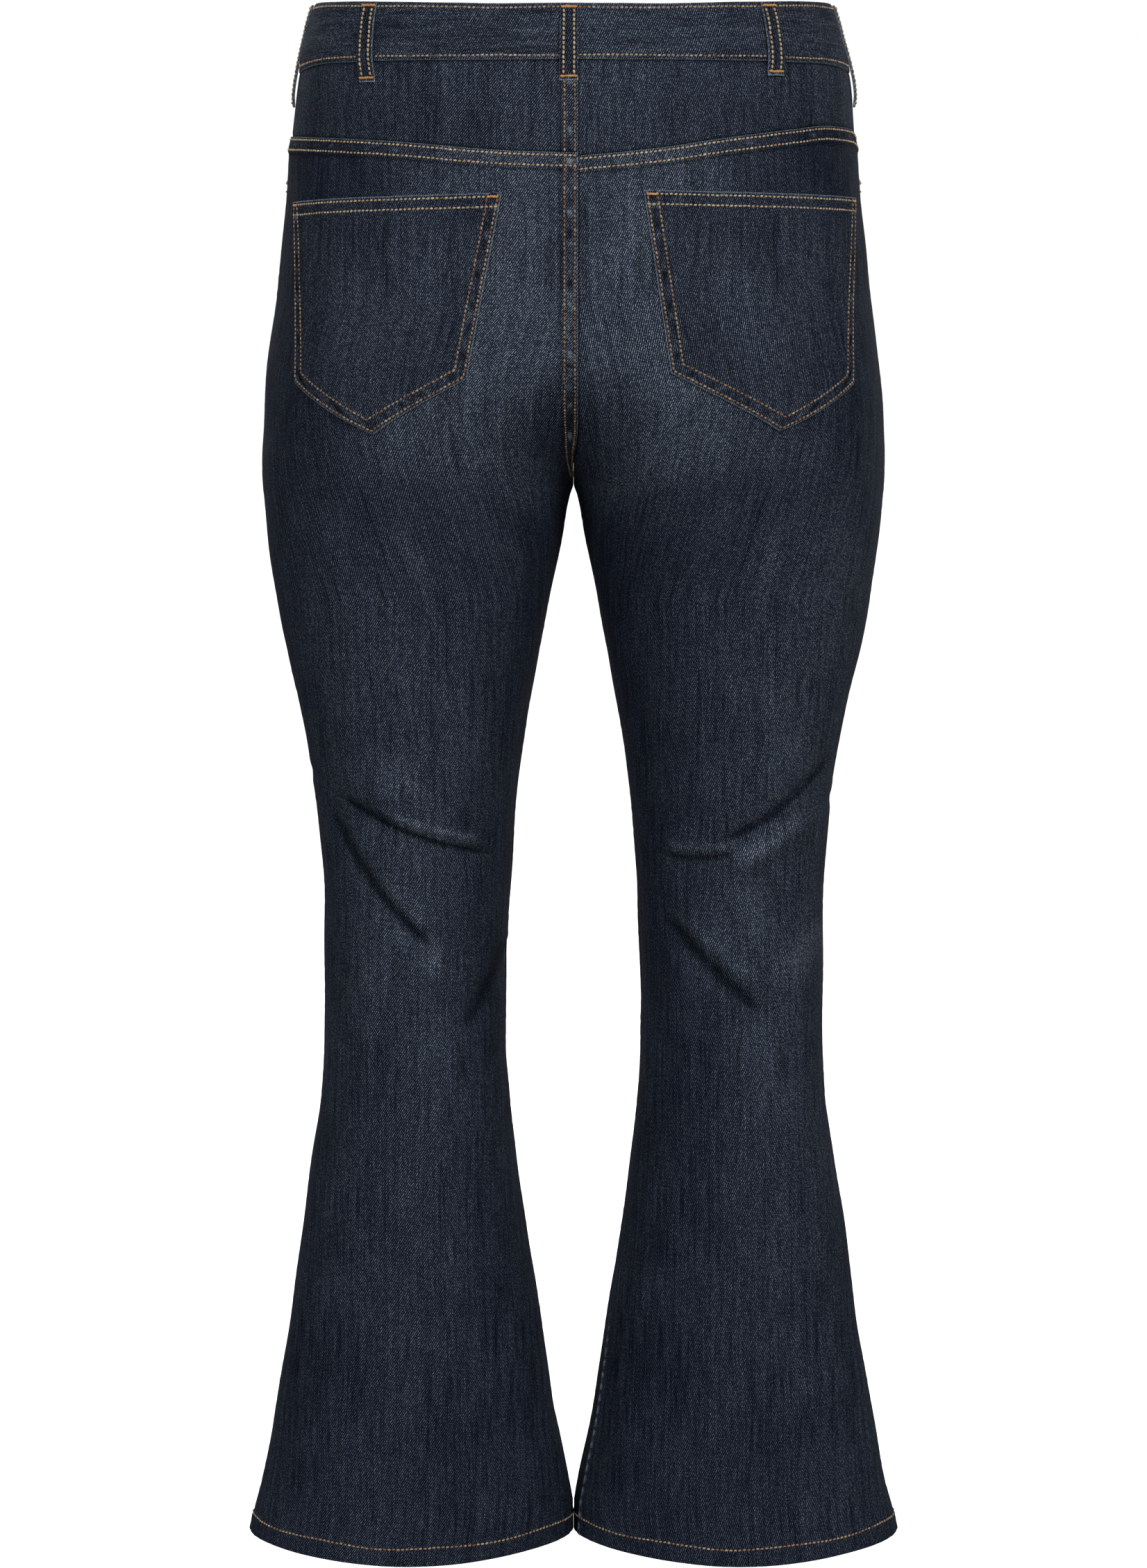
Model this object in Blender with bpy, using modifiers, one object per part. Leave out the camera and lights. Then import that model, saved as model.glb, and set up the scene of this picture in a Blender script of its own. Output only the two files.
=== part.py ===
"""Bootcut jeans, filled out as if worn: hollow denim walls, in metres, +Z up.

The origin is the middle of the waist opening, at the height of the waistband's top edge at the centre
back. The front faces -Y, and +X is the wearer's left. All the cloth lies on one shared surface, a stack of sections
that can be worked out at any height from the table SECTIONS. Below the crotch a section is a leg's
oval, and above it one half of the hips, from the side seam round to the centre line. Each piece is a
wall between two grids of points on that surface, moved out or in along its normals.
"""

from collections import namedtuple

import bmesh
import bpy
import numpy as np
from mathutils import Vector

MM = 0.001
FRONT, BACK = -1, 1
LEFT, RIGHT = 1, -1
SIDE_NAME = {LEFT: "left", RIGHT: "right"}

SEAM_GAP = 0.3 * MM
CLOTH = 1.5 * MM

# Rise and leg
CROTCH = -324 * MM
VALLEY = 17 * MM  # how softly the cloth spans the centre seam's hollow
VALLEY_GROWS = 90 * MM
HEM_SIDE = -1058 * MM
HEM_DROP = {FRONT: -4 * MM, BACK: 9 * MM}
HEM_FOLD = 12.5 * MM
HEM_EXTRA = 0.6 * MM  # each face stands out this much more where the hem is turned up
HEM_SWAY = 75 * MM  # rows within this height of the hem follow its curve

# Waistband
BAND_HEIGHT = 37.5 * MM
BAND_INNER, BAND_OUTER = -1.4 * MM, 1.0 * MM
BAND_EDGE = 0.3 * MM  # the folded edges are this much lower than the band's face
FRONT_DIP = 16 * MM
SIDE_RISE, RISE_REACH = 5.5 * MM, 0.85  # the top edge is this much higher at the sides than at the back
SIDE_SAG, SAG_REACH = 4 * MM, 0.3  # the lower edge is this much lower there
BAND_OVER = 4 * MM  # the left end runs this far past the centre front
BAND_UNDER = 36 * MM  # the right end runs this far under the left one
BAND_STEP = 2.7 * MM
BAND_CLIMB = 34 * MM  # the length over which the left end climbs onto the right one

# Yoke seam, and the front pocket's mouth
YokeStop = namedtuple("YokeStop", "share height")  # share: from the side seam to the centre back; mm
YOKE_SEAM = {
    LEFT: [
        YokeStop(0, -84.8),
        YokeStop(0.3, -87.8),
        YokeStop(0.58, -92.4),
        YokeStop(0.83, -98.2),
        YokeStop(1, -99.8),
    ],
    RIGHT: [
        YokeStop(0, -84.6),
        YokeStop(0.14, -80.6),
        YokeStop(0.29, -79.9),
        YokeStop(0.42, -83.0),
        YokeStop(0.6, -88.9),
        YokeStop(0.8, -96.8),
        YokeStop(1, -102.1),
    ],
}
SCOOP_WIDTH, SCOOP_DEPTH = 98 * MM, 72 * MM
FACING_LAP = 14 * MM
FACING_DEPTH, FACING_CLOTH = 2.0 * MM, 1.0 * MM

# Back pockets: distances from the centre back seam along the cloth, and heights
Corner = namedtuple("Corner", "across height")
POCKET = {
    LEFT: {
        "inner_top": Corner(47.5 * MM, -126.5 * MM),
        "outer_top": Corner(224 * MM, -131 * MM),
        "outer_bottom": Corner(202.5 * MM, -252.3 * MM),
        "tip": Corner(141 * MM, -286.6 * MM),
        "inner_bottom": Corner(71 * MM, -249.4 * MM),
    },
    RIGHT: {
        "inner_top": Corner(46.4 * MM, -124.7 * MM),
        "outer_top": Corner(229 * MM, -128 * MM),
        "outer_bottom": Corner(205 * MM, -253.7 * MM),
        "tip": Corner(144.4 * MM, -284.5 * MM),
        "inner_bottom": Corner(64.7 * MM, -245.6 * MM),
    },
}
POCKET_LIFT, POCKET_CLOTH = 1.0 * MM, 1.2 * MM

# Belt loops: how far the strip stands off at each drop below the waist's top edge
LOOP_WIDTH, LOOP_CLOTH = 12 * MM, 1.6 * MM
LOOP_COLUMNS = 4
LoopStop = namedtuple("LoopStop", "drop lift")
LOOP_PROFILE = [
    LoopStop(1.2 * MM, 1.3 * MM),
    LoopStop(5 * MM, 1.4 * MM),
    LoopStop(11 * MM, 2.7 * MM),
    LoopStop(19 * MM, 3.4 * MM),
    LoopStop(30 * MM, 3.4 * MM),
    LoopStop(39 * MM, 2.7 * MM),
    LoopStop(45 * MM, 1.2 * MM),
    LoopStop(48.5 * MM, 0.4 * MM),
    LoopStop(52 * MM, 0.4 * MM),
]
SIDE_LOOP_LIFTS = [1.2, 1.2, 1.3, 1.3, 1.4, 1.7, 1.6, 1.0, 0.4]  # mm: the side loops lie closer
# centre: where the loop's middle is, in mm along the cloth from the face's centre seam; lean: how far
# its foot is nearer to that seam than its head; foot: its lowest drop, in mm, to which the profile is
# stretched
Loop = namedtuple("Loop", "name side face centre lean foot")
LOOPS = [
    Loop("centre", LEFT, BACK, 3, 0, 52),
    Loop("back_left", LEFT, BACK, 142, 11.8, 52),
    Loop("back_right", RIGHT, BACK, 137, 5.3, 47.5),
    Loop("side_left", LEFT, BACK, 240.9, 0, 61),
    Loop("side_right", RIGHT, BACK, 240.9, 0, 61),
    Loop("front_left", LEFT, FRONT, 118, 0, 52),
    Loop("front_right", RIGHT, FRONT, 118, 0, 52),
]

# Shank button on the left end of the waistband
BUTTON_IN = 15 * MM  # from the centre front
BUTTON_CLEAR = 0.5 * MM
BUTTON_TURNS = 20
PROBE = 10 * MM  # a point this far out along the normal shows which way the button faces
Ring = namedtuple("Ring", "radius height")
BUTTON_PROFILE = [
    Ring(0, 2.3 * MM),
    Ring(5.3 * MM, 2.3 * MM),
    Ring(6.0 * MM, 3.1 * MM),
    Ring(7.6 * MM, 3.1 * MM),
    Ring(8.5 * MM, 2.2 * MM),
    Ring(8.5 * MM, 0.7 * MM),
    Ring(7.8 * MM, 0),
    Ring(0, 0),
]

# Sections in mm, from the waist down. side and inner: how far a leg's oval reaches out from the centre
# line and in towards it; above the crotch it would reach past that line, and the cloth stops there.
# middle: y of the side and inner seams; front and back: depths from there; square: 0 for an ellipse,
# more for flatter faces.
Section = namedtuple("Section", "height side inner middle front back square")
SECTIONS = [
    Section(8, 175.5, -175.5, 0, 110, 116, 0.16),
    Section(0, 178.6, -178.6, 0, 112, 118, 0.17),
    Section(-15, 182.6, -182.6, 0, 115, 121, 0.18),
    Section(-38, 188.4, -188.4, 0, 119, 126, 0.20),
    Section(-55, 191.0, -191.0, 0, 121, 130, 0.21),
    Section(-72, 192.6, -192.6, 0, 123, 133, 0.22),
    Section(-86, 194.0, -194.0, 0, 124, 136, 0.23),
    Section(-96, 196.0, -196.0, 0, 125, 138, 0.24),
    Section(-111, 197.2, -197.2, 0, 127, 141, 0.25),
    Section(-130, 198.7, -198.7, 0, 128, 144, 0.27),
    Section(-168, 202.6, -202.6, 0, 129, 149, 0.28),
    Section(-188, 204.8, -201.0, 0, 129, 151, 0.28),
    Section(-207, 207.2, -175.0, 0, 129, 152, 0.28),
    Section(-226, 209.7, -135.0, 0, 128, 152, 0.27),
    Section(-246, 212.0, -92.0, 0.8, 127, 151, 0.26),
    Section(-266, 213.6, -56.0, 1.4, 125, 148, 0.24),
    Section(-285, 214.6, -29.5, 1.9, 122.2, 143, 0.21),
    Section(-304, 215.5, -11.5, 2.3, 119.2, 137.2, 0.18),
    Section(-315, 215.4, -4.2, 2.5, 117.3, 133.9, 0.16),
    Section(-324, 215.0, 0.0, 2.6, 115.6, 131.1, 0.145),
    Section(-333, 214.2, 3.0, 2.6, 113.7, 128.2, 0.13),
    Section(-362, 212.0, 8.2, 2.5, 107.8, 118.7, 0.11),
    Section(-401, 206.7, 16.5, 1.6, 101, 108, 0.10),
    Section(-440, 199.5, 23.9, 0, 95, 100, 0.10),
    Section(-479, 190.6, 30.7, -2, 89, 93, 0.10),
    Section(-518, 183.2, 37.1, -4, 83, 86, 0.10),
    Section(-557, 178.4, 41.1, -5, 77, 80, 0.10),
    Section(-616, 174.7, 45.1, -4, 70, 75, 0.10),
    Section(-684, 174.1, 47.7, 0, 66, 73, 0.08),
    Section(-713, 174.3, 47.7, 2, 66, 73, 0.08),
    Section(-752, 176.6, 45.1, 5, 66, 74, 0.06),
    Section(-790, 182.0, 40.6, 8, 67, 75, 0.04),
    Section(-849, 190.6, 32.8, 12, 67, 75, 0.02),
    Section(-907, 198.4, 23.3, 15, 67, 75, 0.0),
    Section(-966, 208.6, 14.6, 18, 67, 75, 0.0),
    Section(-1024, 219.1, 3.6, 20, 67, 75, 0.0),
    Section(-1042, 224.0, 0.9, 21, 67, 76, 0.0),
    Section(-1058, 227.4, 0.9, 21, 68, 77, 0.0),
    Section(-1072, 228.8, 0.9, 21, 68, 78, 0.0),
]

# The largest folds in mm: each an arc through three points seen from the front or the back, with x
# outwards from the centre line. width: half of the trough or ridge; depth: below zero for a trough.
Fold = namedtuple("Fold", "side face x1 z1 x2 z2 x3 z3 width depth")
FOLDS = [
    Fold(LEFT, BACK, 172, -531, 110, -566, 46, -580, 9, -4.5),
    Fold(LEFT, BACK, 165, -513, 108, -547, 55, -560, 13, 3.0),
    Fold(LEFT, BACK, 166, -566, 124, -620, 92, -653, 10, -3.2),
    Fold(LEFT, BACK, 152, -556, 114, -604, 84, -640, 12, 2.6),
    Fold(LEFT, BACK, 46, -642, 57, -668, 76, -698, 9, -2.6),
    Fold(RIGHT, BACK, 181, -512, 141, -553, 96, -570, 9, -4.6),
    Fold(RIGHT, BACK, 172, -536, 136, -568, 98, -585, 11, 2.8),
    Fold(RIGHT, BACK, 56, -580, 86, -584, 114, -580, 8, -3.4),
    Fold(RIGHT, BACK, 56, -565, 86, -568, 114, -564, 10, 2.6),
    Fold(RIGHT, BACK, 60, -617, 97, -658, 132, -685, 9, -3.2),
    Fold(RIGHT, BACK, 72, -606, 108, -645, 138, -669, 12, 2.6),
    Fold(RIGHT, BACK, 123, -577, 141, -604, 138, -634, 12, -2.0),
    Fold(LEFT, FRONT, 168, -548, 118, -578, 66, -586, 12, -3.2),
    Fold(LEFT, FRONT, 164, -618, 130, -646, 88, -652, 12, -2.6),
    Fold(LEFT, FRONT, 52, -632, 76, -664, 112, -690, 12, -2.2),
    Fold(RIGHT, FRONT, 172, -532, 126, -566, 78, -580, 12, -3.4),
    Fold(RIGHT, FRONT, 56, -612, 92, -644, 134, -650, 12, -2.6),
    Fold(LEFT, FRONT, 16, -292, 56, -270, 112, -238, 12, -2.6),
    Fold(RIGHT, FRONT, 16, -288, 62, -272, 118, -252, 12, -2.6),
    Fold(LEFT, FRONT, 26, -338, 74, -330, 132, -306, 13, -2.4),
    Fold(RIGHT, FRONT, 26, -344, 78, -328, 128, -314, 13, -2.2),
]
FOLD_POINTS = 13
FOLD_FADE = 3.2  # a fold comes to its full depth within one part in this of its length

# Grids
TURN_SAMPLES = 121
STEP = 0.5 * MM  # for slopes
TURN_STEP = 0.005  # radians, for slopes
BACK_COLUMNS = 17
SCOOP_COLUMNS = 7
FRONT_COLUMNS = 8  # from the pocket's mouth to the centre front
COLUMN_BIAS = 1.15  # above 1, back columns are closer together at the side, where the cloth turns
YOKE_ROWS = 5
BAND_COLUMNS_PER_QUARTER = 16
BAND_DROPS = [0, 1.5 * MM, 36 * MM, BAND_HEIGHT]
POCKET_COLUMNS, POCKET_ROWS = 15, 9
ROW_CLEAR = 10 * MM  # the least drop from a panel's top edge to its next row
TOP_SWAY = 130 * MM  # rows within this height of a panel's top edge follow that edge
# Row heights in mm of a leg panel between its top edge and its hem, close together at the crotch
# and the knee. A panel takes those below its top edge.
LEG_ROWS = [
    -50, -64, -80, -98, -117, -139, -163, -190, -216, -240, -262, -281, -297, -311, -324, -337, -352,
    -369, -389, -412, -436, -460, -482, -500, -515, -528, -541, -554, -567, -580, -593, -607, -622,
    -638, -655, -674, -698, -730, -770, -812, -856, -900, -946, -986, -1018,
]  # fmt: skip

DENIM = (0.028, 0.042, 0.075, 1)
DENIM_DARK = (0.022, 0.034, 0.062, 1)
COPPER = (0.46, 0.25, 0.13, 1)
CLOTH_ROUGHNESS, METAL_ROUGHNESS = 0.9, 0.35
SHARP_EDGE = 50  # degrees


def table_column(table, column, height):
    """A table's column at any height."""
    rows = sorted(table, key=lambda row: row.height)
    known = np.array([row.height for row in rows]) * MM
    return smooth_curve(known, np.array([getattr(row, column) for row in rows], float), height)


def smooth_curve(known, value, spot):
    """A smooth curve through known values, which doesn't swing past them."""
    step = np.diff(known)
    slope = np.diff(value) / step
    tangent = np.zeros(len(known))
    product = slope[:-1] * slope[1:]
    total = np.where(product > 0, slope[:-1] + slope[1:], 1)
    tangent[1:-1] = np.where(product > 0, 2 * product / total, 0)
    tangent[0], tangent[-1] = slope[0], slope[-1]
    place = np.clip(np.searchsorted(known, spot) - 1, 0, len(step) - 1)
    part = (spot - known[place]) / step[place]
    low, high = value[place], value[place + 1]
    swing = tangent[place] * (1 - part) - tangent[place + 1] * part
    blend = part * part * (3 - 2 * part)
    return low + (high - low) * blend + step[place] * part * (1 - part) * swing


def smooth(value):
    value = np.clip(value, 0, 1)
    return value * value * (3 - 2 * value)


def half_section(height):
    """The oval under one half's cloth: half width, centre, side, last angle, and the hollow's softness."""
    side = table_column(SECTIONS, "side", height) * MM
    inner = table_column(SECTIONS, "inner", height) * MM
    half, centre = (side - inner) / 2, (side + inner) / 2
    last = np.arccos(np.clip(-centre / half, -1, 1))
    soft = VALLEY * smooth((height - CROTCH) / VALLEY_GROWS)
    return half, centre, side, last, soft


def surface(face, angle, height):
    """Points of the wearer's left half, by the angle round the section from the side seam."""
    half, centre, side, _, soft = half_section(height)
    square = table_column(SECTIONS, "square", height)
    middle = table_column(SECTIONS, "middle", height) * MM
    depth = table_column(SECTIONS, "back" if face == BACK else "front", height) * MM
    x = centre + half * np.cos(angle)
    spread = np.sqrt(x**2 + soft**2 * np.clip(1 - (x / side) ** 2, 0, 1))
    across = np.clip((spread - centre) / half, -1, 1)
    bridge = np.where(soft > 0, np.sqrt(1 - across**2) - np.abs(np.sin(angle)), 0)
    bulge = np.sin(angle) * (1 + square * np.cos(angle) ** 2) + bridge
    return np.stack([x, middle + face * depth * bulge, height + 0 * x], axis=-1)


def normal(face, angle, height):
    round_it = surface(face, angle + TURN_STEP, height) - surface(face, angle - TURN_STEP, height)
    down = surface(face, angle, height - STEP) - surface(face, angle, height + STEP)
    out = face * np.cross(down, round_it)
    return out / np.linalg.norm(out, axis=-1, keepdims=True)


def lengths(face, height):
    """Angles from the side seam to the inner one, and the length of cloth up to each, at each height."""
    last = half_section(height)[3]
    angle = last[..., None] * np.linspace(0, 1, TURN_SAMPLES)
    points = surface(face, angle, np.repeat(height[..., None], TURN_SAMPLES, axis=-1))
    steps = np.linalg.norm(np.diff(points, axis=-2), axis=-1)
    run = np.concatenate([np.zeros(steps.shape[:-1] + (1,)), np.cumsum(steps, axis=-1)], axis=-1)
    return angle, run


def angle_at(face, share, height):
    """The angle that is this share of the way along the cloth, from the side seam to the inner one."""
    angle, run = lengths(face, height)
    found = np.empty(share.shape)
    edge = SEAM_GAP / 2
    for place in np.ndindex(share.shape):
        whole = run[place][-1]
        wanted = np.clip(share[place] * whole, edge, whole - edge)
        found[place] = np.interp(wanted, run[place], angle[place])
    return found


def relief(side, face, points):
    """How far the folds lift the cloth at these points of the left half."""
    lift = np.zeros(points.shape[:-1])
    place = points[..., [0, 2]]
    part = np.linspace(0, 1, FOLD_POINTS)
    for fold in FOLDS:
        if (fold.side, fold.face) != (side, face):
            continue
        start, bend, end = np.array([[fold.x1, fold.z1], [fold.x2, fold.z2], [fold.x3, fold.z3]]) * MM
        pull = 2 * bend - (start + end) / 2
        line = (
            np.outer((1 - part) ** 2, start)
            + np.outer(2 * part * (1 - part), pull)
            + np.outer(part**2, end)
        )
        best = np.full(lift.shape, np.inf)
        where = np.zeros(lift.shape)
        for index, (a, b) in enumerate(zip(line[:-1], line[1:])):
            along = np.clip(((place - a) @ (b - a)) / ((b - a) @ (b - a)), 0, 1)
            away = np.linalg.norm(place - a - along[..., None] * (b - a), axis=-1)
            closer = away < best
            best = np.where(closer, away, best)
            where = np.where(closer, (index + along) / (FOLD_POINTS - 1), where)
        fade = smooth(FOLD_FADE * where) * smooth(FOLD_FADE * (1 - where))
        lift += fold.depth * MM * fade * np.exp(-((best / (fold.width * MM)) ** 2))
    return lift


def cloth_points(side, face, share, height, lift):
    """Points on one half's cloth, moved out by lift, with the folds."""
    angle = angle_at(face, share, height)
    base = surface(face, angle, height)
    out = normal(face, angle, height)
    points = base + out * (lift + relief(side, face, base))[..., None]
    points[..., 0] = np.maximum(points[..., 0], SEAM_GAP / 2)
    points[..., 0] *= side
    return points


def plain_material(name, colour, roughness, metallic):
    material = bpy.data.materials.new(name)
    material.use_nodes = True
    shader = material.node_tree.nodes["Principled BSDF"]
    shader.inputs["Base Color"].default_value = colour
    shader.inputs["Roughness"].default_value = roughness
    shader.inputs["Metallic"].default_value = metallic
    return material


def wall(name, outer, inner, colour):
    """One closed wall between two grids of points, rows by columns, joined round the rim."""
    rows, columns = outer.shape[:2]
    mesh = bmesh.new()
    layers = [[[mesh.verts.new(point) for point in row] for row in grid] for grid in (outer, inner)]
    for grid in layers:
        for row in range(rows - 1):
            for column in range(columns - 1):
                upper, lower = grid[row], grid[row + 1]
                mesh.faces.new((upper[column], upper[column + 1], lower[column + 1], lower[column]))
    rim = [(0, column) for column in range(columns - 1)]
    rim += [(row, columns - 1) for row in range(rows - 1)]
    rim += [(rows - 1, column) for column in range(columns - 1, 0, -1)]
    rim += [(row, 0) for row in range(rows - 1, 0, -1)]
    for (row_a, column_a), (row_b, column_b) in zip(rim, rim[1:] + rim[:1]):
        corners = (
            layers[0][row_a][column_a],
            layers[0][row_b][column_b],
            layers[1][row_b][column_b],
            layers[1][row_a][column_a],
        )
        mesh.faces.new(corners)
    bmesh.ops.recalc_face_normals(mesh, faces=mesh.faces)
    data = bpy.data.meshes.new(name)
    mesh.to_mesh(data)
    mesh.free()
    data.shade_smooth()
    data.set_sharp_from_angle(angle=np.radians(SHARP_EDGE))
    data.materials.append(plain_material(name + "_cloth", colour, CLOTH_ROUGHNESS, 0))
    jeans.objects.link(bpy.data.objects.new(name, data))


def quarter_length(face, height):
    """The cloth's length from the side seam to the centre line."""
    return lengths(face, np.array([height]))[1][0, -1]


def centre_dip(face, share):
    return 0 * share if face == BACK else FRONT_DIP * smooth(share)


def band_top(face, share):
    """The waist's edge, which is highest at the sides and dips towards the centre front."""
    return SIDE_RISE * (1 - smooth(share / RISE_REACH)) - centre_dip(face, share)


def band_bottom(face, share):
    return -BAND_HEIGHT - SIDE_SAG * (1 - smooth(share / SAG_REACH)) - centre_dip(face, share)


def waist_height(face, share, drop):
    """The height of a place that is so far down the waistband's middle height, or on below it."""
    top, bottom = band_top(face, share), band_bottom(face, share)
    return top + (bottom - top) * np.minimum(drop / BAND_HEIGHT, 1) - np.maximum(drop - BAND_HEIGHT, 0)


def yoke_seam(side, share):
    stops = YOKE_SEAM[side]
    known = np.array([stop.share for stop in stops], float)
    return smooth_curve(known, np.array([stop.height for stop in stops]), share) * MM


def hem_height(face, share):
    return HEM_SIDE - HEM_DROP[face] * np.sin(np.pi * share) ** 2


def leg_heights(face, share, top):
    """The heights of a leg panel's rows, which follow its top edge and its hem where they are near."""
    hem = hem_height(face, share)
    inside = np.array(LEG_ROWS) * MM
    inside = inside[inside < top.max() - ROW_CLEAR]
    turned = np.array([HEM_FOLD + STEP, HEM_FOLD - STEP, 0])
    rows = [top]
    for height in inside:
        near_top = np.clip(1 - (top.max() - height) / TOP_SWAY, 0, None)
        near_hem = np.clip(1 - (height - HEM_SIDE) / HEM_SWAY, 0, None)
        rows.append(height + near_top * (top - top.max()) + near_hem * (hem - HEM_SIDE))
    rows += [hem + above for above in turned]
    return np.stack(rows)


def leg_panel(side, face, share, top):
    height = leg_heights(face, share, top)
    grid_share = np.broadcast_to(share, height.shape)
    turned_up = np.zeros(height.shape)
    turned_up[-2:] = HEM_EXTRA
    outer = cloth_points(side, face, grid_share, height, turned_up)
    inner = cloth_points(side, face, grid_share, height, -CLOTH - turned_up)
    name = ("back" if face == BACK else "front") + "_panel_" + SIDE_NAME[side]
    wall(name, outer, inner, DENIM)


def back_panel(side):
    share = np.linspace(0, 1, BACK_COLUMNS) ** COLUMN_BIAS
    leg_panel(side, BACK, share, yoke_seam(side, share) - SEAM_GAP / 2)


def front_columns():
    """A front panel's columns, and how far the pocket's mouth cuts into each below the waistband."""
    width = SCOOP_WIDTH / quarter_length(FRONT, -BAND_HEIGHT)
    turn = np.linspace(0, np.pi / 2, SCOOP_COLUMNS)
    rest = np.linspace(width, 1, FRONT_COLUMNS)[1:]
    share = np.concatenate([width * np.sin(turn), rest])
    cut = np.concatenate([SCOOP_DEPTH * np.cos(turn), 0 * rest])
    return share, cut


def front_panel(side):
    share, cut = front_columns()
    leg_panel(side, FRONT, share, band_bottom(FRONT, share) - SEAM_GAP - cut)


def pocket_facing(side):
    """The piece seen through the pocket's mouth, which runs on behind the panel by one column."""
    share = front_columns()[0][: SCOOP_COLUMNS + 1]
    edge = band_bottom(FRONT, share) - SEAM_GAP
    drops = np.linspace(0, SCOOP_DEPTH + FACING_LAP, SCOOP_COLUMNS)
    height = edge - drops[:, None]
    grid_share = np.broadcast_to(share, height.shape)
    flat = np.zeros(height.shape)
    outer = cloth_points(side, FRONT, grid_share, height, flat - FACING_DEPTH)
    inner = cloth_points(side, FRONT, grid_share, height, flat - FACING_DEPTH - FACING_CLOTH)
    wall("pocket_facing_" + SIDE_NAME[side], outer, inner, DENIM_DARK)


def yoke(side):
    share = np.linspace(0, 1, BACK_COLUMNS) ** COLUMN_BIAS
    top = band_bottom(BACK, share) - SEAM_GAP
    bottom = yoke_seam(side, share) + SEAM_GAP / 2
    height = top + np.linspace(0, 1, YOKE_ROWS)[:, None] * (bottom - top)
    grid_share = np.broadcast_to(share, height.shape)
    flat = np.zeros(height.shape)
    outer = cloth_points(side, BACK, grid_share, height, flat)
    inner = cloth_points(side, BACK, grid_share, height, flat - CLOTH)
    wall("yoke_" + SIDE_NAME[side], outer, inner, DENIM)


def round_the_waist(place, drop, lift):
    """Points on the waist at places counted in quarters: 0 centre front, 1 left side, 2 centre back."""
    place, drop, lift = np.broadcast_arrays(place, drop, lift)
    points = np.empty(place.shape + (3,))
    quarter = np.floor(place).astype(int) % 4
    part = place - np.floor(place)
    for number, (side, face) in enumerate([(LEFT, FRONT), (LEFT, BACK), (RIGHT, BACK), (RIGHT, FRONT)]):
        here = quarter == number
        share = part[here] if number in (1, 3) else 1 - part[here]
        height = waist_height(face, share, drop[here])
        angle = exact_angle(face, share, height)
        moved = surface(face, angle, height) + normal(face, angle, height) * lift[here][..., None]
        points[here] = moved * (side, 1, 1)
    return points


def exact_angle(face, share, height):
    """As angle_at, with no gap left at the seams."""
    angle, run = lengths(face, height)
    found = [np.interp(a * r[-1], r, t) for a, r, t in zip(share, run, angle)]
    return np.array(found)


def waistband():
    """One strip round the waist, whose left end climbs over its right one at the centre front."""
    quarter = quarter_length(FRONT, -BAND_HEIGHT / 2)
    start, end = -BAND_OVER / quarter, 4 + BAND_UNDER / quarter
    place = np.linspace(start, end, 4 * BAND_COLUMNS_PER_QUARTER + 1)
    climbed = (BAND_UNDER + BAND_OVER) / quarter
    raised = BAND_STEP * (1 - smooth((place - climbed) / (BAND_CLIMB / quarter)))
    drop = np.array(BAND_DROPS)[:, None]
    at_edge = (drop == 0) | (drop == BAND_HEIGHT)
    outer_lift = np.where(at_edge, BAND_OUTER - BAND_EDGE, BAND_OUTER)
    outer = round_the_waist(place, drop, raised + outer_lift)
    inner = round_the_waist(place, drop, raised + BAND_INNER)
    wall("waistband", outer, inner, DENIM)


def waist_place(side, face, along, height):
    """A distance along the cloth from a face's centre seam, as quarters round the waist."""
    part = along / quarter_length(face, height)
    if face == BACK:
        return 2 - side * part
    return side * part


def belt_loop(loop):
    drops = np.array([stop.drop for stop in LOOP_PROFILE]) * loop.foot * MM / LOOP_PROFILE[-1].drop
    lifts = np.array([stop.lift for stop in LOOP_PROFILE])
    if loop.name.startswith("side"):
        lifts = np.array(SIDE_LOOP_LIFTS) * MM
    middle = waist_place(loop.side, loop.face, loop.centre * MM, -BAND_HEIGHT / 2)
    quarter = quarter_length(loop.face, -BAND_HEIGHT / 2)
    across = np.linspace(-0.5, 0.5, LOOP_COLUMNS) * LOOP_WIDTH / quarter
    toward_seam = loop.side if loop.face == BACK else -loop.side
    lean = toward_seam * loop.lean * MM / quarter * (drops / drops[-1] - 0.5)
    place = middle + across[None, :] + lean[:, None]
    inner = round_the_waist(place, drops[:, None], lifts[:, None])
    outer = round_the_waist(place, drops[:, None], lifts[:, None] + LOOP_CLOTH)
    wall("belt_loop_" + loop.name, outer, inner, DENIM_DARK)


def back_pocket(side):
    """A five-cornered patch, ruled from its top edge down to its pointed lower edge."""
    corner = {name: np.array([spot.across, spot.height]) for name, spot in POCKET[side].items()}
    across = np.linspace(0, 1, POCKET_COLUMNS)[:, None]
    top = corner["inner_top"] + across * (corner["outer_top"] - corner["inner_top"])
    inner_half = np.clip(2 * across, 0, 1)
    outer_half = np.clip(2 * across - 1, 0, 1)
    bottom = (
        corner["inner_bottom"]
        + inner_half * (corner["tip"] - corner["inner_bottom"])
        + outer_half * (corner["outer_bottom"] - corner["tip"])
    )
    down = np.linspace(0, 1, POCKET_ROWS)[:, None, None]
    spots = top + down * (bottom - top)
    height = spots[..., 1]
    whole = lengths(BACK, height)[1][..., -1]
    share = 1 - spots[..., 0] / whole
    flat = np.zeros(height.shape)
    inner = cloth_points(side, BACK, share, height, flat + POCKET_LIFT)
    outer = cloth_points(side, BACK, share, height, flat + POCKET_LIFT + POCKET_CLOTH)
    wall("back_pocket_" + SIDE_NAME[side], outer, inner, DENIM)


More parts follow.
